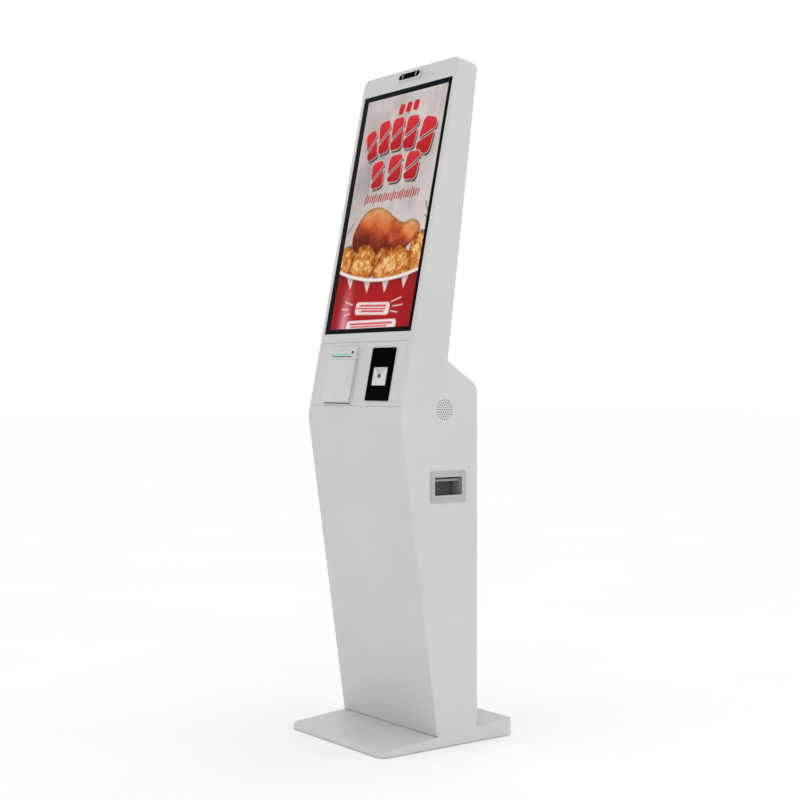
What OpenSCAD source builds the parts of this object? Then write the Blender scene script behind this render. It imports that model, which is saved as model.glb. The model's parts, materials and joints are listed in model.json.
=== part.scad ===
// Self-service ordering kiosk for the floor: sheet-steel case, portrait touch display,
// receipt printer, code scanner and face camera. Millimetres, +Z up, +X to the right of a
// person in front, +Y to the back. The origin is the middle of the footprint on the floor.

/* [Case] */
// Width of the case and of the base
body_w = 390; // [386:1:400]
// Thickness of the case sheet
sheet = 2; // [1.5:0.1:2]
// Depth of the base along the floor
base_d = 396; // [392:1:420]
// Height of the base's front edge
base_front_h = 14; // [13:0.5:18]
// Height of the base's rear edge
base_rear_h = 45; // [42:0.5:50]
// Radius of the base's front corners
base_corner_r = 22; // [16:1:30]
// Y of the knee, the edge that stands out furthest in front
knee_y = -145; // [-147:0.5:-143]
// Height of the knee
knee_z = 791; // [786:1:796]
// Radius of the bend at the knee
knee_r = 60; // [40:1:80]
// Lean of the upper face, back from upright
face_lean = 11.7; // [11.4:0.1:12]
// Lean of the lower front panel, forward from upright
shin_lean = 8.35; // [8.1:0.05:8.6]
// Length of the upper face from the knee to the top edge
face_len = 887.4; // [884:0.2:894]
// Thickness of the head at its top
head_top_d = 57; // [55:0.5:62]
// Radius of the head's two top corners
head_corner_r = 20; // [14:1:21]

/* [Display] */
// Width of the picture, for a 27-inch 16:9 panel standing upright
picture_w = 336.2; // [335:0.1:337]
// Height of the picture
picture_h = 597.6; // [596:0.1:599]
// Height of the picture's lower edge above the knee, along the face
picture_s = 223; // [221:0.5:225]

/* [Printer] */
// X of the middle of the printer and its paper
printer_x = -75; // [-75.5:0.5:-74.5]
// Radius of the paper roll when full
roll_r = 36; // [20:1:37]

/* [Door] */
// Width of the rear door
door_w = 330; // [326:1:331]
// Height of the rear door's lower edge
door_z = 140; // [138:1:146]
// Height of the rear door itself
door_h = 675; // [660:1:676]

/* [Hidden] */

$fn = 48;
half_w = body_w / 2;
inner_w = half_w - sheet;
base_half_d = base_d / 2;
mat_h = 1.5;
ballast_h = 6;
return_d = 8;
cap_h = 24;
shadow_gap = 0.15;
rail_x = inner_w - sheet;
splice_d = 24;
rail_d = 18;
rear_y = 90;
shoulder_z = 866;
shoulder_r = 30;
waist = [-1.7, 926];
foot_z = 10;
shoulder_split_z = 830;
bend_steps = 8;
far = 2000;

// Directions in the YZ plane: along each straight of the outline, and inwards from it.
face_up = [sin(face_lean), cos(face_lean)];
face_in = [cos(face_lean), -sin(face_lean)];
shin_in = [cos(shin_lean), sin(shin_lean)];
knee = [knee_y, knee_z];
head_front = knee + face_len * face_up;
head_back = head_front + head_top_d * face_in;
back_lean = atan((head_back[0] - waist[0]) / (head_back[1] - waist[1]));
back_len = norm(head_back - waist);
back_in = [-cos(back_lean), sin(back_lean)];
shoulder = [rear_y, shoulder_z];
shoulder_rise = atan((waist[1] - shoulder[1]) / (shoulder[0] - waist[0]));
shoulder_in = [-sin(shoulder_rise), -cos(shoulder_rise)];
column_in = [-1, 0];

// Where two straights meet after both have moved inwards by d.
function meet(p, in_a, in_b, d) = p + d * (in_a + in_b) / (1 + in_a * in_b);
function front_y(z) = knee_y + (knee_z - z) * tan(shin_lean);
function base_top_z(y) =
    base_front_h + (base_rear_h - base_front_h) * (y + base_half_d) / base_d;
function reversed(list) = [for (i = [len(list) - 1:-1:0]) list[i]];

// The front of the case from the foot to the top, moved inwards by d.
function front_line(d, over = 0) = concat(
    [[front_y(foot_z) + d / cos(shin_lean), foot_z]],
    [for (i = [0:bend_steps])
        let (a = -shin_lean + i * (shin_lean + face_lean) / bend_steps)
        meet(knee, shin_in, face_in, knee_r) + (knee_r - d) * [-cos(a), sin(a)]],
    [head_front + d * face_in + over * face_up]
);
// The shoulder from the column's rear face to the waist, moved inwards by d.
function shoulder_line(d) = concat(
    [for (i = [0:bend_steps])
        let (a = i * (90 - shoulder_rise) / bend_steps)
        meet(shoulder, column_in, shoulder_in, shoulder_r) + (shoulder_r - d) * [cos(a), sin(a)]],
    [meet(waist, shoulder_in, back_in, d)]
);
function rear_line(d) = concat(
    [[rear_y - d, foot_z]], shoulder_line(d), [meet(head_back, -face_up, back_in, d)]
);

// A flat outline in Y and Z given a thickness from x0 to x1.
module slab(x0, x1) {
    translate([x0, 0, 0]) rotate([90, 0, 90]) linear_extrude(x1 - x0) children();
}
// A space whose Y runs up the face, with Z out of it and the knee as zero.
module on_face() {
    translate([0, knee_y, knee_z]) rotate([90 - face_lean, 0, 0]) children();
}
// The same for the back of the head, with the waist as zero and Z towards the front.
module on_back() {
    translate([0, waist[0], waist[1]]) rotate([90 - back_lean, 0, 0]) children();
}
module mirrored_pair() {
    children();
    mirror([1, 0, 0]) children();
}
// A box between two corners.
module block(low, high) {
    translate(low) cube(high - low);
}
// An upright box with round vertical edges.
module round_plate(low, high, r) {
    size = high - low;
    translate(low) linear_extrude(size[2]) union() {
        translate([r, 0]) square([size[0] - 2 * r, size[1]]);
        translate([0, r]) square([size[0], size[1] - 2 * r]);
        for (x = [r, size[0] - r], y = [r, size[1] - r]) translate([x, y]) circle(r);
    }
}
module below_base(gap = 0) {
    slab(-half_w - 1, half_w + 1) polygon([
        [-far, -far], [far, -far], [far, base_top_z(far) + gap], [-far, base_top_z(-far) + gap]
    ]);
}
// Everything inside the head's front outline, with its round top corners.
module face_prism(d) {
    r = head_corner_r - d;
    w = half_w - d;
    on_face() translate([0, 0, -far / 2]) linear_extrude(far) union() {
        translate([-w, -far / 2]) square([2 * w, far / 2 + face_len - d - r]);
        translate([-w + r, 0]) square([2 * w - 2 * r, face_len - d]);
        for (x = [-w + r, w - r]) translate([x, face_len - d - r]) circle(r);
    }
}
module case_profile(d) {
    polygon(concat(
        front_line(d, -d), [meet(head_back, -face_up, back_in, d)],
        reversed(shoulder_line(d)), [[rear_y - d, foot_z]]
    ));
}
module front_band(d0, d1, over = 4) {
    polygon(concat(front_line(d0, over), reversed(front_line(d1, over))));
}
module rear_band(d0, d1) {
    polygon(concat(rear_line(d0), reversed(rear_line(d1))));
}
module cap_region() {
    start = head_front - cap_h * face_up - 20 * face_in;
    polygon([
        start, start + 200 * face_in, start + 200 * face_in + 60 * face_up, start + 60 * face_up
    ]);
}
module case_solid(d) {
    intersection() {
        slab(-half_w + d, half_w - d) case_profile(d);
        face_prism(d);
    }
}

// ---- Base ----
module base_wedge(d) {
    intersection() {
        slab(-half_w + d, half_w - d) polygon([
            [-base_half_d + d, mat_h], [base_half_d - d, mat_h],
            [base_half_d - d, base_top_z(base_half_d - d) - d],
            [-base_half_d + d, base_top_z(-base_half_d + d) - d]
        ]);
        base_footprint(d, 0, base_rear_h + 1);
    }
}
module base_footprint(d, z0, z1) {
    r = base_corner_r - d;
    w = half_w - d;
    translate([0, 0, z0]) linear_extrude(z1 - z0) union() {
        translate([-w, -base_half_d + d + r]) square([2 * w, base_d - 2 * d - r]);
        translate([-w + r, -base_half_d + d]) square([2 * w - 2 * r, 2 * r]);
        for (x = [-w + r, w - r]) translate([x, -base_half_d + d + r]) circle(r);
    }
}
bay_y0 = -20;
bay_y1 = 84;
module base_plinth() {
    color("#cdcdcc") difference() {
        base_wedge(0);
        base_wedge(sheet);
        base_footprint(sheet, 0, mat_h + ballast_h);
        block([-inner_w, bay_y0, 0], [inner_w, bay_y1, base_rear_h + 1]);
    }
}
anchor_x = 120;
anchor_y = [5, 55];
anchor_r = 5.5;
bracket_y = [15, 53];
bracket_bolt_x = 168;
bracket_bolt_r = 4;
module ballast_plate() {
    color("#77797b") difference() {
        base_footprint(sheet, mat_h, mat_h + ballast_h);
        for (x = [-anchor_x, anchor_x], y = anchor_y)
            translate([x, y, 0]) cylinder(h = 30, r = anchor_r);
        for (x = [-bracket_bolt_x, bracket_bolt_x], y = bracket_y)
            translate([x, y, 0]) cylinder(h = 30, r = bracket_bolt_r);
    }
}
module floor_mat() {
    color("#262626") difference() {
        base_footprint(4, 0, mat_h);
        for (x = [-anchor_x, anchor_x], y = anchor_y)
            translate([x, y, -1]) cylinder(h = 30, r = anchor_r + 2.5);
    }
}
bracket_z = mat_h + ballast_h;
bracket_t = 3;
module column_brackets() {
    color("#8d9093") mirrored_pair() difference() {
        union() {
            block([148, 2, bracket_z], [inner_w, 66, bracket_z + bracket_t]);
            block([inner_w - bracket_t, 2, bracket_z], [inner_w, 66, 110]);
        }
        for (y = bracket_y)
            translate([bracket_bolt_x, y, 0]) cylinder(h = 30, r = bracket_bolt_r);
    }
}
module base_bolts() {
    color("#a9abad") mirrored_pair() for (y = bracket_y) translate([bracket_bolt_x, y, mat_h]) {
        cylinder(h = ballast_h + bracket_t, r = bracket_bolt_r);
        translate([0, 0, ballast_h + bracket_t]) cylinder(h = 5, r = 7, $fn = 6);
    }
}

// ---- Case ----
handle_y = -0.5;
handle_z = 626;
grille_y = -11;
grille_z = 809;
grille_step = 5.8;
module side_panel() {
    color("#d1d1d0") difference() {
        slab(inner_w, half_w) difference() {
            case_profile(0);
            front_band(-1, return_d);
            cap_region();
        }
        below_base();
        block([inner_w - 1, handle_y - 46, handle_z - 24], [half_w + 1, handle_y + 46, handle_z + 30]);
        for (ring = [0:4], i = [0:max(0, ring * 6 - 1)])
            translate([
                inner_w - 1,
                grille_y + ring * grille_step * cos(i * 60 / max(1, ring)),
                grille_z + ring * grille_step * sin(i * 60 / max(1, ring))
            ]) rotate([0, 90, 0]) cylinder(h = sheet + 2, r = 1.25, $fn = 16);
    }
}
module left_side_panel() {
    mirror([1, 0, 0]) side_panel();
}
module right_side_panel() {
    side_panel();
}
glass_x = picture_w / 2 + 12.6;
glass_s0 = picture_s - 13.5;
glass_s1 = picture_s + picture_h + 16;
panel_gap = 0.6;
module_x = 179.4;
module_s0 = 26.6;
module_s1 = 185.4;
module front_fascia() {
    color("#cbcbca") difference() {
        intersection() {
            case_solid(0);
            slab(-half_w, half_w) front_band(-1, return_d);
        }
        case_solid(sheet);
        below_base(shadow_gap);
        on_face() {
            block(
                [-glass_x - panel_gap, glass_s0 - panel_gap, -10],
                [glass_x + panel_gap, glass_s1 + panel_gap, 10]
            );
            block(
                [-module_x - panel_gap, module_s0 - panel_gap, -10],
                [module_x + panel_gap, module_s1 + panel_gap, 10]
            );
            block([camera_x - 40, 858, -10], [camera_x + 40, 877, 10]);
        }
    }
}
module module_frame() {
    color("#b9babb") on_face() difference() {
        block([-rail_x, 17, -2 * sheet], [rail_x, 195, -sheet]);
        block([-170, 36, -10], [170, 176, 10]);
    }
}
module module_panel() {
    color("#cccccb") on_face() difference() {
        block([-module_x, module_s0, -sheet], [module_x, module_s1, 0]);
        block([printer_x - 50, 44, -10], [printer_x + 50, 166, 10]);
        block([scanner_x - 30, 74, -10], [scanner_x + 30, 124, 10]);
    }
}
module head_top_cap() {
    color("#cdcdcc") difference() {
        intersection() {
            case_solid(0);
            slab(-half_w, half_w) difference() {
                cap_region();
                front_band(-1, return_d, 60);
            }
        }
        face_prism(sheet);
    }
}
fan_s = 330;
fan_half = 40;
module head_rear_cover() {
    color("#cdcdcc") difference() {
        intersection() {
            slab(-inner_w, inner_w) polygon([
                waist, head_back, meet(head_back, -face_up, back_in, sheet),
                meet(waist, shoulder_in, back_in, sheet)
            ]);
            face_prism(sheet);
        }
        on_back() {
            for (i = [-4:4]) block([-32, fan_s + i * 7 - 1.6, -5], [32, fan_s + i * 7 + 1.6, 5]);
            for (side = [-1, 1], i = [0:7])
                block([side * 105 - 30, 60 + i * 8, -5], [side * 105 + 30, 63.2 + i * 8, 5]);
            for (side = [-1, 1], i = [0:7])
                block([side * 105 - 30, 600 + i * 8, -5], [side * 105 + 30, 603.2 + i * 8, 5]);
        }
    }
}
module shoulder_cover() {
    color("#cdcdcc") slab(-inner_w, inner_w) polygon(concat(
        [[rear_y, shoulder_split_z]], shoulder_line(0),
        reversed(shoulder_line(sheet)), [[rear_y - sheet, shoulder_split_z]]
    ));
}
door_half = door_w / 2;
jamb_gap = 2;
jamb_x = door_half + jamb_gap;
jamb_z0 = door_z - jamb_gap;
jamb_z1 = door_z + door_h + jamb_gap;
jamb_y = 80;
lip_w = 15;
inlet_x = -50;
inlet_z = 88;
module rear_frame() {
    color("#cdcdcc") difference() {
        union() {
            block([-inner_w, rear_y - sheet, foot_z], [inner_w, rear_y, shoulder_split_z]);
            block(
                [-jamb_x - sheet, jamb_y, jamb_z0 - sheet],
                [jamb_x + sheet, rear_y - sheet, jamb_z1 + sheet]
            );
        }
        below_base();
        block([-jamb_x, jamb_y + sheet, jamb_z0], [jamb_x, rear_y + 1, jamb_z1]);
        block(
            [-jamb_x + lip_w, jamb_y - 1, jamb_z0 + lip_w],
            [jamb_x - lip_w, rear_y, jamb_z1 - lip_w]
        );
        block(
            [inlet_x - 32, rear_y - sheet - 1, inlet_z - 12],
            [inlet_x + 32, rear_y + 1, inlet_z + 12]
        );
    }
}
module case_rails() {
    color("#a7a9ab") mirrored_pair() difference() {
        intersection() {
            union() {
                slab(rail_x, inner_w) front_band(sheet, splice_d);
                slab(rail_x, inner_w) rear_band(sheet, rail_d);
                slab(175, rail_x) rear_band(sheet, 2 * sheet);
            }
            slab(0, half_w) case_profile(sheet);
            face_prism(sheet);
        }
        below_base();
    }
}
module screw_head(r = 3.4, h = 1.6) {
    difference() {
        cylinder(h = h, r = r);
        translate([0, 0, h / 2]) cylinder(h = h, r = r * 0.45, $fn = 6);
    }
}
module case_screws() {
    color("#b4b6b8") {
        for (x = [-182, -62, 62, 182], s = [26, back_len - 32])
            on_back() translate([x, s, 0]) rotate([180, 0, 0]) screw_head();
        for (x = [-182, 182], i = [1:3])
            on_back() translate([x, i * back_len / 4, 0]) rotate([180, 0, 0]) screw_head();
        for (x = [-182, 182], z = [60, 300, 560, shoulder_split_z - 8, shoulder_split_z + 10])
            translate([x, rear_y, z]) rotate([-90, 0, 0]) screw_head();
    }
}
shelf_z = [250, 500];
module equipment_shelves() {
    color("#a7a9ab") for (z = shelf_z) {
        y0 = front_y(z) + splice_d + 4;
        block([-inner_w, y0, z], [inner_w, 70, z + sheet]);
        for (side = [0, 1]) mirror([side, 0, 0])
            block([rail_x, y0, z - 20], [inner_w, 70, z]);
    }
}

// ---- Display ----
glass_front = -0.4;
glass_back = -4.4;
display_back = -16;
module touch_glass() {
    color("#15181a") on_face()
        round_plate([-glass_x, glass_s0, glass_back], [glass_x, glass_s1, glass_front], 3);
}
module display_panel() {
    color("#3b3d40") on_face() block(
        [-picture_w / 2 - 6, picture_s - 6, display_back],
        [picture_w / 2 + 6, picture_s + picture_h + 6, glass_back]
    );
}
bracket_s = [250, 460, 670];
bracket_len = 90;
module display_brackets() {
    color("#a7a9ab") on_face() mirrored_pair() for (s = bracket_s) {
        block([181, s, display_back], [183, s + bracket_len, -sheet]);
        block([183, s, -2 * sheet], [rail_x, s + bracket_len, -sheet]);
        block([150, s, display_back - sheet], [183, s + bracket_len, display_back]);
    }
}
board_back = -30;
board_s = 300;
module display_board() {
    color("#5b5e60") on_face() {
        block([-70, board_s, board_back], [70, board_s + 110, display_back]);
        block([20, board_s - 8, board_back + 3], [40, board_s, display_back]);
    }
}

// ---- Camera ----
camera_top = 883;
camera_low = 857;
camera_foot = 855;
camera_mid = 868;
camera_x = 4;
camera_tilt = 11.7;
window_w = 84;
window_h = 17;
function camera_rise(s) = (camera_top - s) * tan(camera_tilt);
// The middle of the camera's window, whose plane leans further back than the face does.
module on_camera() {
    on_face() translate([camera_x, camera_mid, camera_rise(camera_mid)])
        rotate([-camera_tilt, 0, 0]) children();
}
module window_plate(low, high) {
    on_camera() round_plate(
        [-window_w / 2, -window_h / 2, low], [window_w / 2, window_h / 2, high], 8
    );
}
module camera_housing() {
    color("#cfcfce") difference() {
        intersection() {
            on_face() slab(camera_x - 50, camera_x + 50) polygon([
                [camera_top, 0], [camera_low, camera_rise(camera_low)], [camera_foot, 0]
            ]);
            on_face() round_plate(
                [camera_x - 45, camera_foot - 8, -1], [camera_x + 45, camera_top + 8, 12], 9
            );
        }
        window_plate(-1, 10);
        on_face() block([camera_x - 36, 862, -1], [camera_x + 36, 873, 12]);
    }
}
module camera_window() {
    color("#0d0d12") window_plate(-1, 0.2);
}
module camera_module() {
    color("#303336") on_face() translate([camera_x, 0, 0]) {
        block([-39, 860, -20], [39, 876, -4]);
        for (x = [-12, 12]) translate([x, camera_mid, -4]) cylinder(h = 4.4, r = 4.5);
        for (side = [-1, 1]) block([side * 46 - 8, 860, -4], [side * 46 + 8, 876, -sheet]);
    }
}
module camera_light_bars() {
    color("#c8c850") on_camera() for (x = [-27, 27])
        block([x - 1.3, -5.5, 0.2], [x + 1.3, 5.5, 0.5]);
}

// ---- Printer ----
bezel_x = -73;
bezel_half = 57;
bezel_s0 = 33;
bezel_s1 = 172;
bezel_front = 3;
bezel_brow = 8;
bezel_back = -8;
cover_half = 53.3;
cover_wide_s = 41.5;
pivot_s = 36.7;
pivot_n = 5.8;
cover_back = 3.3;
cover_front = 8;
cover_top = 142;
hinge_r = 2.5;
pin_r = 1.5;
bore_gap = 0.05;
slot_s = 148.5;
slot_half = 42.5;
button_x = -30.5;
button_s = 159;
button_r = 3.5;
button_gap = 0.07;
light_s = 153.6;
light_x0 = -126.5;
light_x1 = -45.5;
led_x = [-114, -91.5, -76.5, -60.5];
led_s = 164.2;
module on_printer() {
    on_face() translate([printer_x, 0, 0]) children();
}
module on_bezel() {
    on_face() translate([bezel_x, 0, 0]) children();
}
module printer_bezel() {
    color("#d0d0cf") {
        difference() {
            union() {
                on_bezel() {
                    round_plate(
                        [-bezel_half, bezel_s0, 0], [bezel_half, bezel_s1, bezel_front], 4
                    );
                    intersection() {
                        round_plate(
                            [-bezel_half, bezel_s0, 0], [bezel_half, bezel_s1, bezel_brow], 4
                        );
                        block(
                            [-bezel_half, cover_top + 0.3, 0], [bezel_half, bezel_s1, bezel_brow]
                        );
                    }
                }
                on_printer() block([-50, 44, bezel_back], [50, 166, 0]);
            }
            on_printer() {
                block([-46, 52, -10], [46, 134, 10]);
                block([-slot_half, slot_s - 1.3, -10], [slot_half, slot_s + 1.3, 10]);
                block([-46.5, 137, -10], [46.5, 145, -2]);
                block([-46.5, 152, -10], [30, 162, -2]);
            }
            on_face() {
                block([light_x0, light_s - 1.7, 1], [light_x1, light_s + 1.7, 10]);
                translate([button_x, button_s, -10]) cylinder(h = 20, r = button_r);
                for (x = led_x) translate([x, led_s, 1]) cylinder(h = 9, r = 1.1);
            }
        }
        on_bezel() for (side = [-1, 1]) {
            block(
                [side * (cover_half + 1.9) - 1.4, pivot_s - 3.5, bezel_front],
                [side * (cover_half + 1.9) + 1.4, pivot_s + 3.5, pivot_n + 2.6]
            );
            translate([side * (cover_half - 1.5), pivot_s, pivot_n]) rotate([0, 90, 0])
                cylinder(h = 4.2, r = pin_r, center = true);
        }
    }
}
module printer_lights() {
    color("#78c8c8") on_face()
        block([light_x0, light_s - 1.7, 1], [light_x1, light_s + 1.7, bezel_brow + 0.6]);
    color("#4a6f70") on_face() for (x = led_x)
        translate([x, led_s, 1]) cylinder(h = bezel_brow - 1.7, r = 1.1);
}
module printer_cover() {
    color("#d6d6d5") on_bezel() difference() {
        union() {
            block([-cover_half, pivot_s, cover_back], [cover_half, cover_top, cover_front]);
            block([-bezel_half, cover_wide_s, cover_back], [bezel_half, cover_top, cover_front]);
            translate([0, pivot_s, pivot_n]) rotate([0, 90, 0])
                cylinder(h = 2 * cover_half, r = hinge_r, center = true);
        }
        block([-cover_half + 2, 46, 0], [cover_half - 2, cover_top - 2, cover_front - 2]);
        for (side = [-1, 1])
            translate([side * (cover_half - 2), pivot_s, pivot_n]) rotate([0, 90, 0])
                cylinder(h = 6, r = pin_r + bore_gap, center = true);
    }
}
button_travel = 1.5;
switch_top = bezel_back - 1.4 - button_travel - 0.5;
module release_button() {
    color("#2d3033") on_face() translate([button_x, button_s, 0]) {
        translate([0, 0, bezel_back - 0.2])
            cylinder(h = bezel_brow + 1.4 - bezel_back + 0.2, r = button_r - button_gap);
        translate([0, 0, bezel_back - 1.4]) cylinder(h = 1.2, r = button_r + 1.4);
    }
}
platen_s = 139.5;
platen_n = -30;
platen_r = 8;
spindle_s = 66;
spindle_n = -80;
spindle_r = 5.9;
core_r = 6;
gear_teeth = 28;
pinion_teeth = 14;
gear_module = 0.6;
gear_pitch_r = gear_teeth * gear_module / 2;
pinion_pitch_r = pinion_teeth * gear_module / 2;
axle_r = 2;
pinion_n = platen_n - gear_pitch_r - pinion_pitch_r;
module printer_chassis() {
    color("#7d8083") on_printer() {
        for (side = [-1, 1]) difference() {
            slab(side * 47 - 1, side * 47 + 1)
                polygon([
                    [22, -8], [150, -8], [150, -14], [160, -14], [160, -95], [120, -118], [22, -118]
                ]);
            translate([side * 47, platen_s, platen_n]) rotate([0, 90, 0])
                cylinder(h = 10, r = axle_r + bore_gap, center = true);
            translate([side * 47, spindle_s, spindle_n]) rotate([0, 90, 0])
                cylinder(h = 10, r = 3, center = true);
        }
        block([-46, 22, -118], [46, 120, -116]);
        block([-48, 20, -118], [48, 22, -40]);
        block([36, 152.5, -24], [46, 160, switch_top]);
        difference() {
            union() {
                block([48, 157, pinion_n - 16], [56, 160, pinion_n + 14]);
                block([54, platen_s - 16, pinion_n - 16], [56, 157, pinion_n + 14]);
            }
            translate([55, platen_s, pinion_n]) rotate([0, 90, 0])
                cylinder(h = 10, r = motor_boss_r, center = true);
        }
    }
}
module print_head() {
    color("#2f3235") on_printer() {
        block([-46, platen_s + platen_r + 0.4, -38], [46, platen_s + platen_r + 3.4, -26]);
        block([-46, platen_s + platen_r + 3.4, -40], [30, 160, -34]);
    }
}
module paper_cutter() {
    color("#8f9296") on_printer() {
        block([-46, slot_s + 2, -24], [30, slot_s + 11.5, -10.5]);
        block([-44, slot_s + 1.6, -12], [44, slot_s + 4, -10.5]);
    }
}
module spur_gear(teeth, h, bore) {
    pitch = teeth * gear_module / 2;
    difference() {
        union() {
            cylinder(h = h, r = pitch - 1.15 * gear_module);
            for (i = [0:teeth - 1]) rotate([0, 0, i * 360 / teeth]) linear_extrude(h) polygon([
                [pitch - 1.4 * gear_module, -0.62 * gear_module],
                [pitch + 0.9 * gear_module, -0.3 * gear_module],
                [pitch + 0.9 * gear_module, 0.3 * gear_module],
                [pitch - 1.4 * gear_module, 0.62 * gear_module]
            ]);
        }
        translate([0, 0, -1]) cylinder(h = h + 2, r = bore);
    }
}
module platen_roller() {
    color("#1c1c1d") on_printer() translate([0, platen_s, platen_n]) rotate([0, 90, 0]) {
        cylinder(h = 84, r = platen_r, center = true);
        cylinder(h = 106, r = axle_r, center = true);
    }
}
gear_x = 48.6;
module platen_gear() {
    color("#e4e2dc") on_printer() translate([gear_x, platen_s, platen_n]) rotate([0, 90, 0])
        spur_gear(gear_teeth, 4, axle_r);
}
motor_shaft_r = 1.5;
motor_boss_r = 3;
module stepper_motor() {
    color("#55585b") on_printer() translate([0, platen_s, pinion_n]) rotate([0, 90, 0])
        difference() {
            union() {
                translate([-17, -17, 56]) cube([34, 34, 26]);
                translate([0, 0, 53.4]) cylinder(h = 3, r = motor_boss_r);
            }
            translate([0, 0, 50]) cylinder(h = 20, r = motor_shaft_r + bore_gap);
        }
}
module motor_pinion() {
    color("#c9a94a") on_printer() translate([0, platen_s, pinion_n]) rotate([0, 90, 0]) {
        translate([0, 0, gear_x]) cylinder(h = 20, r = motor_shaft_r);
        translate([0, 0, gear_x]) rotate([0, 0, 180 / pinion_teeth])
            spur_gear(pinion_teeth, 4, motor_shaft_r);
    }
}
module paper_spindle() {
    color("#b9bbbd") on_printer() translate([0, spindle_s, spindle_n]) rotate([0, 90, 0]) {
        cylinder(h = 92, r = spindle_r, center = true);
        cylinder(h = 98, r = 3, center = true);
    }
}
module paper_roll() {
    color("#f4f3ee") on_printer() translate([0, spindle_s, spindle_n]) rotate([0, 90, 0])
        difference() {
            cylinder(h = 80, r = roll_r, center = true, $fn = 96);
            cylinder(h = 90, r = core_r, center = true);
        }
}

// ---- Scanner ----
scanner_x = 91;
funnel_low = [scanner_x - 27.5, 77];
funnel_high = [scanner_x + 26.5, 121];
lens_low = [scanner_x - 14, 96.5];
lens_high = [scanner_x - 2, 105.5];
funnel_back = -1;
scanner_front = 3;
module scanner_plate() {
    color("#0c0c0d") on_face() difference() {
        round_plate(
            [scanner_x - 46.5, 39.7, 0], [scanner_x + 46.5, 169.8, scanner_front], 2.5
        );
        block([funnel_low[0], funnel_low[1], -1], [funnel_high[0], funnel_high[1], 9]);
    }
}
module scanner_funnel() {
    color("#d2d2d0") on_face() difference() {
        block([funnel_low[0], funnel_low[1], -9], [funnel_high[0], funnel_high[1], scanner_front]);
        intersection() {
            rotate([90, 0, 0]) translate([0, 0, -200]) linear_extrude(400)
                polygon([
                    [lens_low[0], funnel_back], [lens_high[0], funnel_back],
                    [funnel_high[0] - 1, scanner_front + 0.01],
                    [funnel_low[0] + 1, scanner_front + 0.01]
                ]);
            slab(0, 200) polygon([
                [lens_low[1], funnel_back], [lens_high[1], funnel_back],
                [funnel_high[1] - 1, scanner_front + 0.01], [funnel_low[1] + 1, scanner_front + 0.01]
            ]);
        }
        block([lens_low[0], lens_low[1], -10], [lens_high[0], lens_high[1], 0]);
    }
}
module scanner_engine() {
    color("#1a1b1d") on_face() {
        block([lens_low[0], lens_low[1], -9], [lens_high[0], lens_high[1], funnel_back - 0.5]);
        block([scanner_x - 30, 74, -40], [scanner_x + 30, 124, -9]);
    }
}

// ---- Speakers, handles ----
module speakers() {
    color("#2b2c2e") mirrored_pair() translate([inner_w, grille_y, grille_z]) rotate([0, -90, 0])
        difference() {
            union() {
                cylinder(h = 3, r = 33);
                cylinder(h = 16, r = 27);
                cylinder(h = 26, r = 16);
            }
            translate([0, 0, -1]) cylinder(h = 3, r = 25.5);
            translate([0, 0, 1.9]) cylinder(h = 8, r1 = 25.4, r2 = 9);
        }
}
handle_frame_y = 53.5;
handle_frame_z0 = -38.5;
handle_frame_z1 = 35.5;
handle_open_y = 41.5;
handle_open_z0 = handle_z - 21.5;
handle_open_z1 = handle_z + 21.5;
handle_depth = 35;
handle_proud = 2.5;
handle_wall = 2.5;
module carry_handle() {
    x0 = half_w - handle_depth - handle_wall;
    color("#b8b8b8") difference() {
        union() {
            translate([half_w, handle_y, handle_z]) rotate([90, 0, 90]) round_plate(
                [-handle_frame_y, handle_frame_z0, 0],
                [handle_frame_y, handle_frame_z1, handle_proud], 3
            );
            block(
                [x0, handle_y - handle_open_y - handle_wall, handle_open_z0 - handle_wall],
                [half_w, handle_y + handle_open_y + handle_wall, handle_open_z1 + 8]
            );
        }
        block(
            [x0 + handle_wall, handle_y - handle_open_y, handle_open_z0],
            [half_w - 4, handle_y + handle_open_y, handle_open_z1 + 5.5]
        );
        block(
            [half_w - 5, handle_y - handle_open_y, handle_open_z0],
            [half_w + 5, handle_y + handle_open_y, handle_open_z1]
        );
    }
    color("#c4c4c4")
        block(
            [half_w - 12, handle_y - handle_open_y, handle_open_z1 - 10],
            [half_w - 8, handle_y + handle_open_y, handle_open_z1 - 5]
        );
}
module left_carry_handle() {
    mirror([1, 0, 0]) carry_handle();
}
module right_carry_handle() {
    carry_handle();
}

// ---- Fan and electrics ----
fan_d = 25;
blade_count = 7;
module on_fan() {
    on_back() translate([0, fan_s, sheet]) children();
}
module fan_frame() {
    color("#2a2b2d") on_fan() {
        difference() {
            round_plate([-fan_half, -fan_half, 0], [fan_half, fan_half, fan_d], 5);
            translate([0, 0, -1]) cylinder(h = fan_d + 2, r = 38);
        }
        difference() {
            union() {
                translate([0, 0, fan_d - 3]) cylinder(h = 3, r = 15);
                for (a = [45:90:315]) rotate([0, 0, a])
                    block([10, -2, fan_d - 3], [38.5, 2, fan_d]);
            }
            translate([0, 0, fan_d - 8]) cylinder(h = 20, r = motor_shaft_r + bore_gap);
        }
    }
}
module fan_rotor() {
    color("#3a3b3d") on_fan() difference() {
        union() {
            translate([0, 0, 3]) cylinder(h = fan_d - 7, r = 14);
            translate([0, 0, 3]) cylinder(h = fan_d - 3, r = motor_shaft_r);
            for (i = [0:blade_count - 1]) rotate([0, 0, i * 360 / blade_count])
                translate([12, 0, fan_d / 2]) rotate([38, 0, 0])
                    translate([0, -8, -0.9]) cube([24.5, 16, 1.8]);
        }
        translate([0, 0, -1]) cylinder(h = 3, r = 20);
    }
}
computer_w = 190;
module computer_box() {
    z = shelf_z[1] + sheet;
    color("#33363a") difference() {
        block([-computer_w / 2, -58, z], [computer_w / 2, 60, z + 45]);
        for (i = [-8:8]) block([i * 9 - 1.5, 55, z + 12], [i * 9 + 1.5, 61, z + 33]);
    }
}
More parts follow.
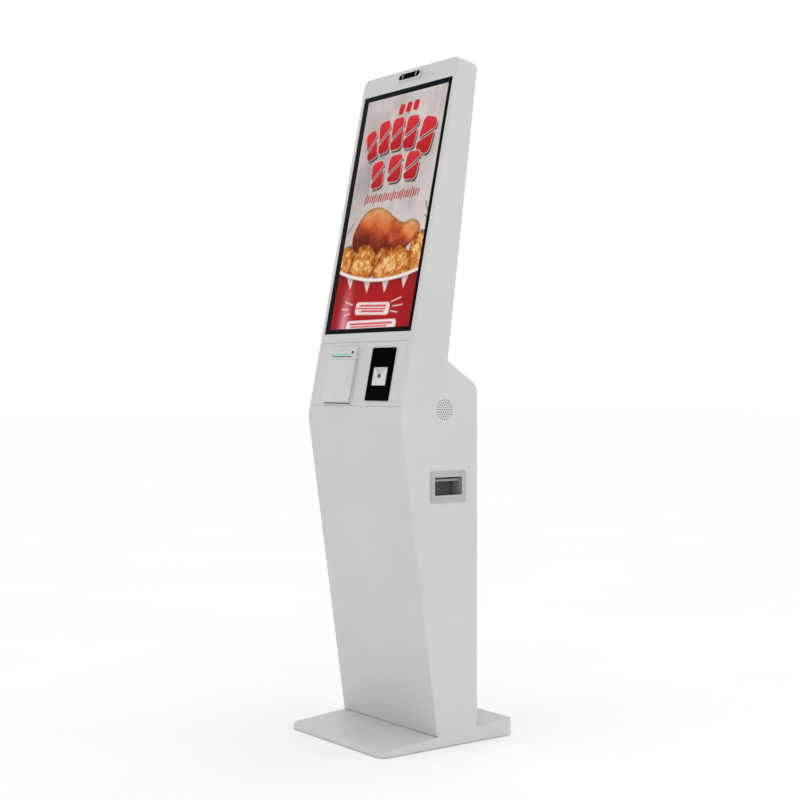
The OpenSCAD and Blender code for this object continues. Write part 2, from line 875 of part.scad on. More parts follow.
module power_supply() {
    z = shelf_z[0] + sheet;
    color("#9a9da0") block([-115, -28, z], [15, 58, z + 45]);
}
socket_x = inlet_x - 13;
rocker_x = inlet_x + 17;
rocker_y = 89.5;
module power_inlet() {
    color("#1d1e20") {
        difference() {
            union() {
                block([inlet_x - 38, rear_y, inlet_z - 16], [inlet_x + 38, rear_y + 2, inlet_z + 16]);
                block([inlet_x - 32, 68, inlet_z - 12], [inlet_x + 32, rear_y, inlet_z + 12]);
            }
            block([socket_x - 12, 74, inlet_z - 8], [socket_x + 12, rear_y + 3, inlet_z + 8]);
            block([rocker_x - 7, 84, inlet_z - 9], [rocker_x + 7, rear_y + 3, inlet_z + 9]);
            translate([rocker_x, rocker_y, inlet_z]) rotate([0, 90, 0])
                cylinder(h = 17, r = 1 + bore_gap, center = true);
        }
        for (x = [-7, 0, 7])
            block([socket_x + x - 1, 73, inlet_z - 2], [socket_x + x + 1, 86, inlet_z + 2]);
    }
}
rocker_swing = 16;
module power_switch_rocker() {
    color("#3a1210") translate([rocker_x, rocker_y, inlet_z]) rotate([-rocker_swing / 2, 0, 0]) {
        block([-6.6, -2.5, -7.5], [6.6, 3.6, 7.5]);
        rotate([0, 90, 0]) cylinder(h = 16.4, r = 1, center = true);
    }
}

// ---- Cables inside ----
cable_rings = 22;
cable_sides = 8;
function curve(p, t) = p[0] * pow(1 - t, 3) + p[1] * 3 * t * pow(1 - t, 2)
    + p[2] * 3 * t * t * (1 - t) + p[3] * pow(t, 3);
function heading(p, t) = (p[1] - p[0]) * pow(1 - t, 2)
    + (p[2] - p[1]) * 2 * t * (1 - t) + (p[3] - p[2]) * t * t;
function unit(v) = v / norm(v);
// A round cable along one smooth curve that keeps out of the X direction.
module cable(p, r) {
    points = [for (k = [0:cable_rings], i = [0:cable_sides - 1])
        let (
            t = k / cable_rings,
            along = unit(heading(p, t)),
            side = unit(cross(along, [1, 0, 0])),
            across = cross(along, side),
            a = i * 360 / cable_sides
        ) curve(p, t) + r * (cos(a) * side + sin(a) * across)];
    walls = [for (k = [0:cable_rings - 1], i = [0:cable_sides - 1])
        let (j = (i + 1) % cable_sides, low = k * cable_sides, high = low + cable_sides)
        [low + i, high + i, high + j, low + j]];
    start = [for (i = [0:cable_sides - 1]) i];
    end = [for (i = [cable_sides - 1:-1:0]) cable_rings * cable_sides + i];
    polyhedron(points, concat(walls, [start], [end]));
}
function face_point(x, s, n) = [
    x, knee_y + s * face_up[0] - n * face_in[0], knee_z + s * face_up[1] - n * face_in[1]
];
computer_top = shelf_z[1] + sheet + 45;
module display_cable() {
    end = face_point(30, board_s - 8, (board_back + 3 + display_back) / 2);
    color("#222325")
        cable([[30, 10, computer_top], [30, 10, computer_top + 200],
            end - 200 * [0, face_up[0], face_up[1]], end], 3.5);
}
module printer_cable() {
    end = face_point(printer_x, 20, -80);
    color("#222325")
        cable([[printer_x, 10, computer_top], [printer_x, 10, computer_top + 90],
            end - 90 * [0, face_up[0], face_up[1]], end], 3);
}
module mains_cable() {
    color("#222325") cable([
        [inlet_x, 75, inlet_z + 12], [inlet_x, 75, 230], [inlet_x, 82, 275], [inlet_x, 58, 275]
    ], 3.2);
}

// ---- Rear door ----
hinge_x = -166;
hinge_y = 94;
knuckle_r = 3.7;
hinge_pin_r = 1.8;
hinge_z = [230, 690];
knuckle_len = 15;
knuckle_gap = 0.5;
hinge_len = 50;
lock_x = 138;
lock_z = 480;
barrel_r = 9;
core_turn_r = 5.5;
module rear_door() {
    color("#cbcbca") difference() {
        block([-door_half, 83, door_z], [door_half, rear_y, door_z + door_h]);
        block([-door_half + sheet, 80, door_z + sheet],
            [door_half - sheet, rear_y - sheet, door_z + door_h - sheet]);
        translate([lock_x, 80, lock_z]) rotate([-90, 0, 0]) cylinder(h = 20, r = barrel_r);
    }
}
module knuckle(z0, z1) {
    translate([hinge_x, hinge_y, z0]) cylinder(h = z1 - z0, r = knuckle_r);
}
module pin_bore(z) {
    translate([hinge_x, hinge_y, z - 5]) cylinder(h = hinge_len + 10, r = hinge_pin_r + bore_gap);
}
module hinge_fixed_leaves() {
    color("#9c9ea1") for (z = hinge_z) difference() {
        union() {
            block([-188, rear_y, z], [-170.5, rear_y + 2, z + hinge_len]);
            for (low = [z, z + hinge_len - knuckle_len]) {
                block([-171, rear_y, low], [hinge_x, rear_y + 2, low + knuckle_len]);
                knuckle(low, low + knuckle_len);
            }
        }
        pin_bore(z);
        block([hinge_x - 1, rear_y - 1, z - 1], [hinge_x + 5, rear_y + 0.3, z + hinge_len + 1]);
    }
}
module hinge_door_leaves() {
    color("#9c9ea1") for (z = hinge_z) {
        low = z + knuckle_len + knuckle_gap;
        high = z + hinge_len - knuckle_len - knuckle_gap;
        difference() {
            union() {
                block([-161.5, rear_y, z], [-144, rear_y + 2, z + hinge_len]);
                block([hinge_x + 1.5, rear_y, low], [-161, rear_y + 2, high]);
                knuckle(low, high);
            }
            pin_bore(z);
        }
    }
}
module hinge_pins() {
    color("#c0c2c4") for (z = hinge_z) translate([hinge_x, hinge_y, z]) {
        translate([0, 0, -1]) cylinder(h = hinge_len + 2, r = hinge_pin_r);
        for (end = [-1.6, hinge_len]) translate([0, 0, end]) cylinder(h = 1.6, r = 3);
    }
}
module on_lock() {
    translate([lock_x, rear_y, lock_z]) rotate([-90, 0, 0]) children();
}
module lock_barrel() {
    color("#b7b9bb") on_lock() difference() {
        union() {
            cylinder(h = 2.5, r = barrel_r + 2.5);
            translate([0, 0, -14]) cylinder(h = 14, r = barrel_r);
            translate([0, 0, -5]) cylinder(h = 3, r = barrel_r + 3, $fn = 6);
        }
        translate([0, 0, -20]) cylinder(h = 40, r = core_turn_r + bore_gap);
    }
}
module lock_core() {
    color("#d6b25a") on_lock() difference() {
        translate([0, 0, -15]) cylinder(h = 17.2, r = core_turn_r);
        block([-0.8, -3.5, -2], [0.8, 3.5, 5]);
    }
}
module lock_cam() {
    color("#a4a6a8") on_lock() {
        block([-6, -7, -18], [6, 28, -15]);
        translate([0, 0, -20]) cylinder(h = 2, r = 4, $fn = 6);
    }
}

base_plinth();
ballast_plate();
floor_mat();
column_brackets();
base_bolts();
left_side_panel();
right_side_panel();
front_fascia();
module_frame();
module_panel();
head_top_cap();
head_rear_cover();
shoulder_cover();
rear_frame();
case_rails();
case_screws();
equipment_shelves();
touch_glass();
display_panel();
display_brackets();
display_board();
camera_housing();
camera_window();
camera_module();
camera_light_bars();
printer_bezel();
printer_lights();
printer_chassis();
print_head();
paper_cutter();
stepper_motor();
paper_spindle();
scanner_plate();
scanner_funnel();
scanner_engine();
speakers();
left_carry_handle();
right_carry_handle();
fan_frame();
computer_box();
power_supply();
power_inlet();
power_switch_rocker();
display_cable();
printer_cable();
mains_cable();
hinge_fixed_leaves();
hinge_pins();
rear_door();
hinge_door_leaves();
lock_barrel();
lock_core();
lock_cam();
printer_cover();
release_button();
platen_roller();
platen_gear();
motor_pinion();
paper_roll();
fan_rotor();
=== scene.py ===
import json
import math

import bmesh
import bpy
import numpy as np
from mathutils import Matrix, Vector

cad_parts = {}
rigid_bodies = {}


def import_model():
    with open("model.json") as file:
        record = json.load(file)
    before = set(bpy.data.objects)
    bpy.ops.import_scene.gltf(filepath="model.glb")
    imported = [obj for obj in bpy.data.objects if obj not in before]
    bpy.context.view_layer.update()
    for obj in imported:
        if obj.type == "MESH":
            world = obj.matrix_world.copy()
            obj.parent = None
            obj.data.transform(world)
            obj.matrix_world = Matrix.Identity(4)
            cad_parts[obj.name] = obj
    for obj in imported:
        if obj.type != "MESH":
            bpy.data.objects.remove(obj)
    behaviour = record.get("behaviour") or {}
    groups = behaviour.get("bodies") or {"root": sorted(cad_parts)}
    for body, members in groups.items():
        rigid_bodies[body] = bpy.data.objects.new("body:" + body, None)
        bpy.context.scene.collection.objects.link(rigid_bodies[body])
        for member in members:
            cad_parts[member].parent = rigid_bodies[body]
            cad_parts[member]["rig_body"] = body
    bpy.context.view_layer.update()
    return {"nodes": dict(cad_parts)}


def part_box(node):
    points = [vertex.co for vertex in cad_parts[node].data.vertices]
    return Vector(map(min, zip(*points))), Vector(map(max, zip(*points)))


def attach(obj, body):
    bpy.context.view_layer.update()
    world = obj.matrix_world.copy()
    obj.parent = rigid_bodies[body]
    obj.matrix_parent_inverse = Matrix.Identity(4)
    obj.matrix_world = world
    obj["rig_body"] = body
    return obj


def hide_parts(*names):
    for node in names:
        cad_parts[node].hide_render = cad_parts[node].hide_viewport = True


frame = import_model()
MM = 0.001

# ---- Places that the case is built on, in metres ----
KNEE = Vector((0, -0.145, 0.791))
WAIST = Vector((0, -0.0017, 0.926))
FACE_LEAN = math.radians(11.7)
FACE_LENGTH = 0.8874
HEAD_DEPTH = 0.057
HEAD_TOP = KNEE + FACE_LENGTH * Vector((0, math.sin(FACE_LEAN), math.cos(FACE_LEAN)))
HEAD_BACK = HEAD_TOP + HEAD_DEPTH * Vector((0, math.cos(FACE_LEAN), -math.sin(FACE_LEAN)))
BACK_LEAN = math.atan2(HEAD_BACK.y - WAIST.y, HEAD_BACK.z - WAIST.z)
REAR_Y = 0.090
HALF_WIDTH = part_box("right_side_panel")[1].x


def leaning_frame(origin, lean):
    """Maps (X, distance up a leaning face, distance in front of it) into the row frame."""
    return Matrix.Translation(origin) @ Matrix.Rotation(math.radians(90) - lean, 4, "X")


FACE = leaning_frame(KNEE, FACE_LEAN)
BACK = leaning_frame(WAIST, BACK_LEAN)
FACE_UP = FACE.to_3x3() @ Vector((0, 1, 0))
BACK_OUT = BACK.to_3x3() @ Vector((0, 0, -1))


# ---- Small tools ----
def linear(channel):
    """The light that an sRGB channel from 0 to 1 stands for."""
    return channel / 12.92 if channel <= 0.04045 else ((channel + 0.055) / 1.055) ** 2.4


def colour(hex_code):
    """An sRGB hex colour as the linear RGBA that a shader reads."""
    parts = [int(hex_code[i : i + 2], 16) / 255 for i in (1, 3, 5)]
    return (*[linear(c) for c in parts], 1.0)


def add(tree, kind, settings=None, **links):
    """Adds a node; settings are its properties or socket values, links are sockets to join."""
    made = tree.nodes.new(kind)
    for key, value in (settings or {}).items():
        if isinstance(key, str) and hasattr(made, key):
            setattr(made, key, value)
        else:
            made.inputs[key].default_value = value
    for key, source in links.items():
        slot = int(key[1:]) if key[0] == "i" and key[1:].isdigit() else key.replace("_", " ")
        tree.links.new(source, made.inputs[slot])
    return made


def kept_object(name, mesh, body):
    """Links a finished mesh, whose vertices are already in place, to the body that it rides."""
    made = bpy.data.objects.new(name, mesh)
    bpy.context.scene.collection.objects.link(made)
    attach(made, body)
    return made


def new_material(name, **shader):
    """A node material with one Principled shader, whose plain sockets are set here."""
    made = bpy.data.materials.new(name)
    made.use_nodes = True
    tree = made.node_tree
    surface = tree.nodes["Principled BSDF"]
    for key, value in shader.items():
        surface.inputs[key.replace("_", " ")].default_value = value
    place = add(tree, "ShaderNodeTexCoord").outputs["Object"]
    return made, tree, surface, place


def grain(tree, place, size_mm, detail=2.0, stretch=(1, 1, 1)):
    """Noise whose blobs measure about size_mm, longer where stretch is under 1."""
    turned = add(tree, "ShaderNodeMapping", {"Scale": stretch}, Vector=place)
    return add(
        tree, "ShaderNodeTexNoise", {"Scale": 1 / (size_mm * MM), "Detail": detail},
        Vector=turned.outputs["Vector"],
    ).outputs["Fac"]


def spread(tree, value, low, high):
    """Maps the middle of a noise to the range low to high."""
    return add(
        tree, "ShaderNodeMapRange",
        {"From Min": 0.3, "From Max": 0.7, "To Min": low, "To Max": high}, Value=value,
    ).outputs["Result"]


def tint(tree, value, first, second):
    """Mixes two hex colours by a value from 0 to 1."""
    mixed = add(
        tree, "ShaderNodeMix",
        {"data_type": "RGBA", 6: colour(first), 7: colour(second)}, i0=value,
    )
    return mixed.outputs[2]


def bump(tree, surface, height, strength, depth_mm):
    """Lets a pattern tilt the surface as if it were depth_mm high."""
    raised = add(
        tree, "ShaderNodeBump", {"Strength": strength, "Distance": depth_mm * MM}, Height=height
    )
    tree.links.new(raised.outputs["Normal"], surface.inputs["Normal"])


# ---- Materials ----
def powder_coat(name, light, dark, rough=0.42):
    """Polyester powder coat, baked on: satin, with a fine orange peel and faint clouding."""
    made, tree, surface, place = new_material(name, IOR=1.5)
    cloud = spread(tree, grain(tree, place, 180, 3), 0, 1)
    tree.links.new(tint(tree, cloud, light, dark), surface.inputs["Base Color"])
    fine = grain(tree, place, 2.2, 2)
    tree.links.new(spread(tree, fine, rough - 0.03, rough + 0.04), surface.inputs["Roughness"])
    bump(tree, surface, fine, 0.10, 0.05)
    return made


def moulded_plastic(name, light, dark, rough, grain_mm=0.9, strength=0.12):
    """Injection-moulded ABS with a spark-eroded grain: soft sheen, tiny pits."""
    made, tree, surface, place = new_material(name, IOR=1.54)
    cloud = spread(tree, grain(tree, place, 60, 2), 0, 1)
    tree.links.new(tint(tree, cloud, light, dark), surface.inputs["Base Color"])
    pits = grain(tree, place, grain_mm, 1)
    tree.links.new(spread(tree, pits, rough - 0.04, rough + 0.05), surface.inputs["Roughness"])
    bump(tree, surface, pits, strength, 0.04)
    return made


def gloss_black(name, shade, dusty, rough, specular):
    """Polished acrylic or printed glass: near-black, mirror-smooth, with faint dust."""
    made, tree, surface, place = new_material(name, IOR=1.5, Specular_IOR_Level=specular)
    dust = spread(tree, grain(tree, place, 3, 4), 0, 1)
    tree.links.new(tint(tree, dust, shade, dusty), surface.inputs["Base Color"])
    smear = spread(tree, grain(tree, place, 45, 3), rough, rough + 0.05)
    tree.links.new(smear, surface.inputs["Roughness"])
    return made


def brushed_metal(name, light, dark, rough, along=(0.03, 1, 1), grain_mm=0.6):
    """Rolled or ground metal: bright, with fine streaks along one direction."""
    made, tree, surface, place = new_material(name, Metallic=1.0)
    streak = grain(tree, place, grain_mm, 3, along)
    tree.links.new(
        tint(tree, spread(tree, streak, 0, 1), light, dark), surface.inputs["Base Color"]
    )
    tree.links.new(spread(tree, streak, rough - 0.06, rough + 0.08), surface.inputs["Roughness"])
    bump(tree, surface, streak, 0.08, 0.03)
    return made


def zinc_sheet(name):
    """Hot-dip galvanised sheet: pale crystals of zinc, each a slightly different grey."""
    made, tree, surface, place = new_material(name, Metallic=1.0)
    crystal = add(tree, "ShaderNodeTexVoronoi", {"Scale": 1 / (9 * MM)}, Vector=place)
    flakes = add(tree, "ShaderNodeSeparateColor", Color=crystal.outputs["Color"])
    tree.links.new(
        tint(tree, flakes.outputs["Red"], "#a6a9ac", "#c4c7c9"), surface.inputs["Base Color"]
    )
    tree.links.new(
        spread(tree, flakes.outputs["Green"], 0.34, 0.5), surface.inputs["Roughness"]
    )
    return made


def rubber(name, shade, rough=0.75):
    """Vulcanised rubber: dark, matt, with a soft mottled skin."""
    made, tree, surface, place = new_material(name, IOR=1.52)
    skin = grain(tree, place, 1.6, 3)
    tree.links.new(
        tint(tree, spread(tree, skin, 0, 1), shade, "#2c2c2c"), surface.inputs["Base Color"]
    )
    tree.links.new(spread(tree, skin, rough - 0.05, rough + 0.08), surface.inputs["Roughness"])
    bump(tree, surface, skin, 0.25, 0.08)
    return made


def wound_paper(name, axis):
    """Thermal paper on a roll: chalky, with the edges of its turns as fine rings about the axis."""
    made, tree, surface, place = new_material(name, Roughness=0.75)
    centred = add(tree, "ShaderNodeMapping", {"Location": -axis}, Vector=place)
    turns = add(
        tree, "ShaderNodeTexWave",
        {"wave_type": "RINGS", "rings_direction": "X", "Scale": 160.0, "Distortion": 0.6},
        Vector=centred.outputs["Vector"],
    ).outputs["Fac"]
    tree.links.new(tint(tree, turns, "#e9e6dd", "#f6f5f0"), surface.inputs["Base Color"])
    bump(tree, surface, turns, 0.15, 0.05)
    return made


def lit_picture(name, layer):
    """A backlit display: it gives off the colours of the mesh's own colour layer."""
    made, tree, surface, place = new_material(name, Roughness=0.35, Emission_Strength=1.0)
    surface.inputs["Base Color"].default_value = colour("#060606")
    surface.inputs["Specular IOR Level"].default_value = 0.02
    shown = add(tree, "ShaderNodeAttribute", {"attribute_name": layer}).outputs["Color"]
    cells = spread(tree, grain(tree, place, 1.1, 1), 0.97, 1.03)
    dimmed = add(tree, "ShaderNodeVectorMath", {"operation": "SCALE"}, i0=shown, Scale=cells)
    tree.links.new(dimmed.outputs["Vector"], surface.inputs["Emission Color"])
    return made


def glowing(name, base, glow, strength):
    """A lamp behind a moulded light guide: even glow with a soft darker rim of grain."""
    made, tree, surface, place = new_material(
        name, IOR=1.49, Roughness=0.3, Emission_Strength=strength
    )
    haze = spread(tree, grain(tree, place, 5, 2), 0, 1)
    tree.links.new(tint(tree, haze, base, glow), surface.inputs["Base Color"])
    tree.links.new(tint(tree, haze, glow, base), surface.inputs["Emission Color"])
    return made


# Painted sheet and the mouldings that are seen from outside.
WHITE_COAT = powder_coat("white_powder_coat", "#c8c8c7", "#c3c3c2")
WHITE_ABS = moulded_plastic("white_abs", "#cbcbca", "#c6c6c5", 0.42)
BEZEL_ABS = moulded_plastic("bezel_abs", "#cdcdcc", "#c8c8c7", 0.45)
DIFFUSER_ABS = moulded_plastic("scanner_diffuser", "#d2d2d0", "#c9c9c8", 0.35)
# Painted shade: a darker grey for the scanner funnel's walls that face down, where shade falls
# under the lip.
PAINTED_SHADE_ABS = moulded_plastic("scanner_painted_shade", "#b6b6b6", "#aeaeae", 0.4)
GREY_ABS = moulded_plastic("grey_abs", "#aeaeae", "#a7a7a7", 0.5)
GRIP_ABS = moulded_plastic("grip_abs", "#999999", "#8f8f8f", 0.5)
# Painted shade: a dark grey that stands in for the shade deep inside the carry handles' recesses.
SHADED_RECESS_ABS = moulded_plastic("recess_painted_shade", "#5c5c5c", "#525252", 0.6)
# Painted light: a lighter grey on the recess wall that faces the front, standing in for the light
# that falls on it.
LIT_RECESS_WALL_ABS = moulded_plastic("recess_wall_painted_light", "#a2a2a2", "#969696", 0.6)
BLACK_ABS = moulded_plastic("black_abs", "#26282a", "#1b1d1f", 0.48)
# Dark mouldings, and the polished blacks of the display, the scanner and the camera.
BUTTON_ABS = moulded_plastic("button_abs", "#161719", "#0f1012", 0.45)
BLACK_GLASS = gloss_black("printed_black_glass", "#0e1113", "#111416", 0.06, 0.012)
BLACK_ACRYLIC = gloss_black("black_acrylic", "#010102", "#040405", 0.05, 0.004)
# Bare metals of the frame, the fittings and the ballast.
ZINC = zinc_sheet("galvanised_sheet")
STEEL = brushed_metal("ground_steel", "#c3c5c7", "#9fa2a5", 0.3)
BRASS = brushed_metal("turned_brass", "#d9bd72", "#b5913f", 0.28, (1, 1, 1), 0.4)
BALLAST = brushed_metal("hot_rolled_plate", "#6b6e71", "#4a4d50", 0.5, (1, 1, 1), 12)
# Rubber, cable, gear and paper.
MAT_RUBBER = rubber("mat_rubber", "#1b1b1b")
# Painted shadow: a dark strip under the printer's bezel that stands in for the shadow below the
# printer cover.
SHADOW_STRIP_RUBBER = rubber("painted_shadow_rubber", "#4a4a4a")
ROLLER_RUBBER = rubber("platen_rubber", "#202124", 0.6)
CABLE_PVC = rubber("cable_pvc", "#1a1b1d", 0.45)
NYLON = moulded_plastic("gear_nylon", "#e8e5dc", "#dbd7cc", 0.4)
ROLL_AXIS = FACE @ Vector((-0.075, 0.066, -0.080))
PAPER = wound_paper("thermal_paper", ROLL_AXIS)
BOARD_SHIELD = moulded_plastic("board_shield", "#565c58", "#454b47", 0.5)
SWITCH_RED = moulded_plastic("switch_red", "#5d1512", "#43100e", 0.35)
# Lamps and the lit display.
SMOKED_LENS = moulded_plastic("smoked_lens", "#4c5153", "#404547", 0.3)
CYAN_GLOW = glowing("cyan_light_guide", "#62b6b8", "#74c4c2", 0.14)
YELLOW_GLOW = glowing("yellow_light_guide", "#b8b86c", "#a6a65a", 0.2)
PICTURE_LIGHT = lit_picture("menu_picture", "picture")


# ---- Skins: clean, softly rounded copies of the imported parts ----
CRISP_FROM = math.radians(40)
SMOOTH_UNDER = math.radians(35)
BEVEL_STEPS = 3


def merged(node):
    """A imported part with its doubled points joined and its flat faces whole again."""
    shape = bmesh.new()
    shape.from_mesh(frame["nodes"][node].data)
    bmesh.ops.remove_doubles(shape, verts=shape.verts, dist=0.004 * MM)
    bmesh.ops.dissolve_limit(
        shape, angle_limit=math.radians(0.4), verts=shape.verts, edges=shape.edges
    )
    return shape


def crisp(edge):
    return (
        len(edge.link_faces) == 2 and edge.is_convex and edge.calc_face_angle(0) > CRISP_FROM
    )


def round_edges(shape, wanted, radius_mm):
    """Bevels each crisp outer edge that the test picks."""
    picked = [e for e in shape.edges if crisp(e) and wanted(e)]
    if picked:
        bmesh.ops.bevel(
            shape, geom=picked, offset=radius_mm * MM, segments=BEVEL_STEPS, profile=0.5,
            affect="EDGES", clamp_overlap=False,
        )


def plain_mesh(shape, name, materials):
    """Turns a bmesh into a smooth-shaded mesh with crisp creases."""
    mesh = bpy.data.meshes.new(name)
    shape.to_mesh(mesh)
    shape.free()
    mesh.shade_smooth()
    mesh.set_sharp_from_angle(angle=SMOOTH_UNDER)
    for material in materials:
        mesh.materials.append(material)
    return mesh


def body_of(node):
    return frame["nodes"][node]["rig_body"]


def skin(node, material, *passes, patches=()):
    """Stands a rounded copy in for a CAD node.

    Each pass is (edge test, radius in mm), and each patch is (face test, its material).
    """
    shape = merged(node)
    for wanted, radius in passes:
        round_edges(shape, wanted, radius)
    for number, (chosen, _) in enumerate(patches, start=1):
        for face in shape.faces:
            if chosen(face):
                face.material_index = number
    mesh = plain_mesh(shape, node + "_skin", [material] + [m for _, m in patches])
    made = kept_object(node + "_skin", mesh, body_of(node))
    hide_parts(node)
    return made


# Tests that pick edges to round and faces to give another material.
def normals(edge):
    return [f.normal for f in edge.link_faces]


def middle(edge):
    return (edge.verts[0].co + edge.verts[1].co) / 2


def is_outer_side(edge):
    return all(abs(abs(v.co.x) - HALF_WIDTH) < 0.05 * MM for v in edge.verts)


def faces_rear(edge):
    return any(n.y > 0.5 for n in normals(edge))


def faces_front(edge):
    return any(n.y < -0.9 for n in normals(edge))


def long_edge(edge):
    return edge.calc_length() > 20 * MM


def outer_front_edge(edge):
    return faces_front(edge) and (
        is_outer_side(edge) or (FACE.inverted() @ middle(edge)).y > 0.866
    )


def side_rear_edge(edge):
    return is_outer_side(edge) and faces_rear(edge)


def base_end_edge(edge):
    return any(n.z > 0.9 for n in normals(edge)) and any(abs(n.y) > 0.3 for n in normals(edge))


def base_side_edge(edge):
    return any(n.z > 0.9 for n in normals(edge)) and is_outer_side(edge)


def handle_rim_edge(edge):
    return long_edge(edge) and abs(middle(edge).x) > HALF_WIDTH - 1 * MM


def is_recess(face):
    return abs(face.calc_center_median().x) < HALF_WIDTH - 1.5 * MM


def is_recess_wall(face):
    return is_recess(face) and face.normal.y < -0.7


def is_grip(face):
    place = face.calc_center_median()
    return 182.5 * MM < abs(place.x) < 187.5 * MM and 637 * MM < place.z < 643 * MM


def faces_down_face(face):
    return 0.2 < -face.normal.dot(FACE_UP) < 0.95


LAMPS_FROM = 160


def is_lamp(face):
    return (FACE.inverted() @ face.calc_center_median()).y > LAMPS_FROM * MM


def rear_rim_edge(edge):
    return faces_rear(edge) and long_edge(edge)


skin("front_fascia", WHITE_COAT, (outer_front_edge, 3.5))
for panel in ("left_side_panel", "right_side_panel"):
    skin(panel, WHITE_COAT, (side_rear_edge, 1.6))
skin("base_plinth", WHITE_COAT, (base_end_edge, 1.5), (base_side_edge, 0.4))
skin("module_panel", WHITE_COAT, (long_edge, 0.3))
skin("rear_door", WHITE_COAT, (rear_rim_edge, 1.0))
skin("camera_housing", WHITE_COAT, (long_edge, 0.5))
for cover in ("head_top_cap", "head_rear_cover", "shoulder_cover", "rear_frame"):
    skin(cover, WHITE_COAT)
skin("touch_glass", BLACK_GLASS, (faces_front, 0.4))
skin("printer_bezel", BEZEL_ABS, (long_edge, 0.3))
skin("printer_cover", WHITE_ABS, (long_edge, 0.8))
skin("scanner_plate", BLACK_ACRYLIC, (faces_front, 0.5))
# The funnel's downward-facing walls get painted shade.
skin("scanner_funnel", DIFFUSER_ABS, patches=[(faces_down_face, PAINTED_SHADE_ABS)])
skin("printer_lights", CYAN_GLOW, (long_edge, 0.25), patches=[(is_lamp, SMOKED_LENS)])
skin("camera_window", BLACK_ACRYLIC)
# Each handle's recess gets a dark grey as painted shade, and a lighter grey on its front-facing
# wall as painted light.
for handle in ("left_carry_handle", "right_carry_handle"):
    skin(
        handle, GREY_ABS, (handle_rim_edge, 0.8),
        patches=[
            # Painted shade in the recess, painted light on its front-facing wall, and the grip.
            (is_recess, SHADED_RECESS_ABS), (is_recess_wall, LIT_RECESS_WALL_ABS), (is_grip, GRIP_ABS)
        ],
    )

# The parts that need no special rounding, by material.
PLAIN_FINISH = {
    ZINC: ["column_brackets", "module_frame", "case_rails", "equipment_shelves",
           "display_brackets", "printer_chassis", "power_supply", "stepper_motor"],
    BLACK_ABS: ["display_panel", "camera_module", "print_head", "speakers", "fan_frame",
                "fan_rotor", "computer_box", "power_inlet", "scanner_engine"],
    BUTTON_ABS: ["release_button"],
    STEEL: ["base_bolts", "paper_spindle", "paper_cutter", "hinge_fixed_leaves", "hinge_pins",
            "hinge_door_leaves", "lock_barrel", "lock_cam"],
    BRASS: ["motor_pinion", "lock_core"],
    BALLAST: ["ballast_plate"],
    MAT_RUBBER: ["floor_mat"],
    ROLLER_RUBBER: ["platen_roller"],
    CABLE_PVC: ["display_cable", "printer_cable", "mains_cable"],
    NYLON: ["platen_gear"],
    PAPER: ["paper_roll"],
    BOARD_SHIELD: ["display_board"],
    SWITCH_RED: ["power_switch_rocker"],
    YELLOW_GLOW: ["camera_light_bars"],
}
for material, nodes in PLAIN_FINISH.items():
    for node in nodes:
        skin(node, material, (long_edge, 0.25))


# ---- Repeated parts, grown by Geometry Nodes ----
def new_group(name, **kinds):
    """A Geometry Nodes group whose named inputs have these socket kinds."""
    group = bpy.data.node_groups.new(name, "GeometryNodeTree")
    sockets = group.interface
    sockets.new_socket("Geometry", in_out="OUTPUT", socket_type="NodeSocketGeometry")
    sockets.new_socket("Geometry", in_out="INPUT", socket_type="NodeSocketGeometry")
    for label, kind in kinds.items():
        sockets.new_socket(
            label.replace("_", " "), in_out="INPUT", socket_type="NodeSocket" + kind
        )
    given = group.nodes.new("NodeGroupInput").outputs
    return group, given


def close_group(group, given, geometry):
    """Ends a group with plain geometry in its own material."""
    real = add(group, "GeometryNodeRealizeInstances", Geometry=geometry).outputs["Geometry"]
    painted = add(group, "GeometryNodeSetMaterial", Geometry=real, Material=given["Material"])
    result = group.nodes.new("NodeGroupOutput")
    group.links.new(painted.outputs["Geometry"], result.inputs["Geometry"])
    return group


def facing_turn(group):
    """The turn that lays an instance's Z along the point's own facing direction."""
    facing = add(
        group, "GeometryNodeInputNamedAttribute",
        {"data_type": "FLOAT_VECTOR", "Name": "facing"},
    ).outputs["Attribute"]
    return add(
        group, "FunctionNodeAlignRotationToVector", {"axis": "Z"}, Vector=facing
    ).outputs["Rotation"]


def scatter_group():
    """Puts a part on each point, turned to its facing and spun at random by up to Spin."""
    group, given = new_group(
        "scatter_parts", Part="Object", Spin="Float", Seed="Int", Material="Material"
    )
    part = add(group, "GeometryNodeObjectInfo", Object=given["Part"]).outputs["Geometry"]
    chance = add(
        group, "FunctionNodeRandomValue", {"data_type": "FLOAT"},
        Max=given["Spin"], Seed=given["Seed"],
    ).outputs["Value"]
    spin = add(
        group, "FunctionNodeAxisAngleToRotation", {"Axis": (0, 0, 1)}, Angle=chance
    ).outputs["Rotation"]
    turn = add(
        group, "FunctionNodeRotateRotation", {"rotation_space": "LOCAL"},
        Rotation=facing_turn(group), Rotate_By=spin,
    ).outputs["Rotation"]
    placed = add(
        group, "GeometryNodeInstanceOnPoints",
        Points=given["Geometry"], Instance=part, Rotation=turn,
    ).outputs["Instances"]
    return close_group(group, given, placed)


def fin_group():
    """A row of upright fins along X on each point."""
    group, given = new_group(
        "fin_row", Count="Int", Pitch="Float", Length="Float", Height="Float",
        Thickness="Float", Material="Material",
    )
    step = add(group, "ShaderNodeCombineXYZ", X=given["Pitch"]).outputs["Vector"]
    row = add(group, "GeometryNodeMeshLine", Count=given["Count"], Offset=step).outputs["Mesh"]
    size = add(
        group, "ShaderNodeCombineXYZ",
        X=given["Thickness"], Y=given["Length"], Z=given["Height"],
    ).outputs["Vector"]
    fin = add(group, "GeometryNodeMeshCube", Size=size).outputs["Mesh"]
    fins = add(group, "GeometryNodeInstanceOnPoints", Points=row, Instance=fin)
    rows = add(
        group, "GeometryNodeInstanceOnPoints",
        Points=given["Geometry"], Instance=fins.outputs["Instances"],
    ).outputs["Instances"]
    return close_group(group, given, rows)


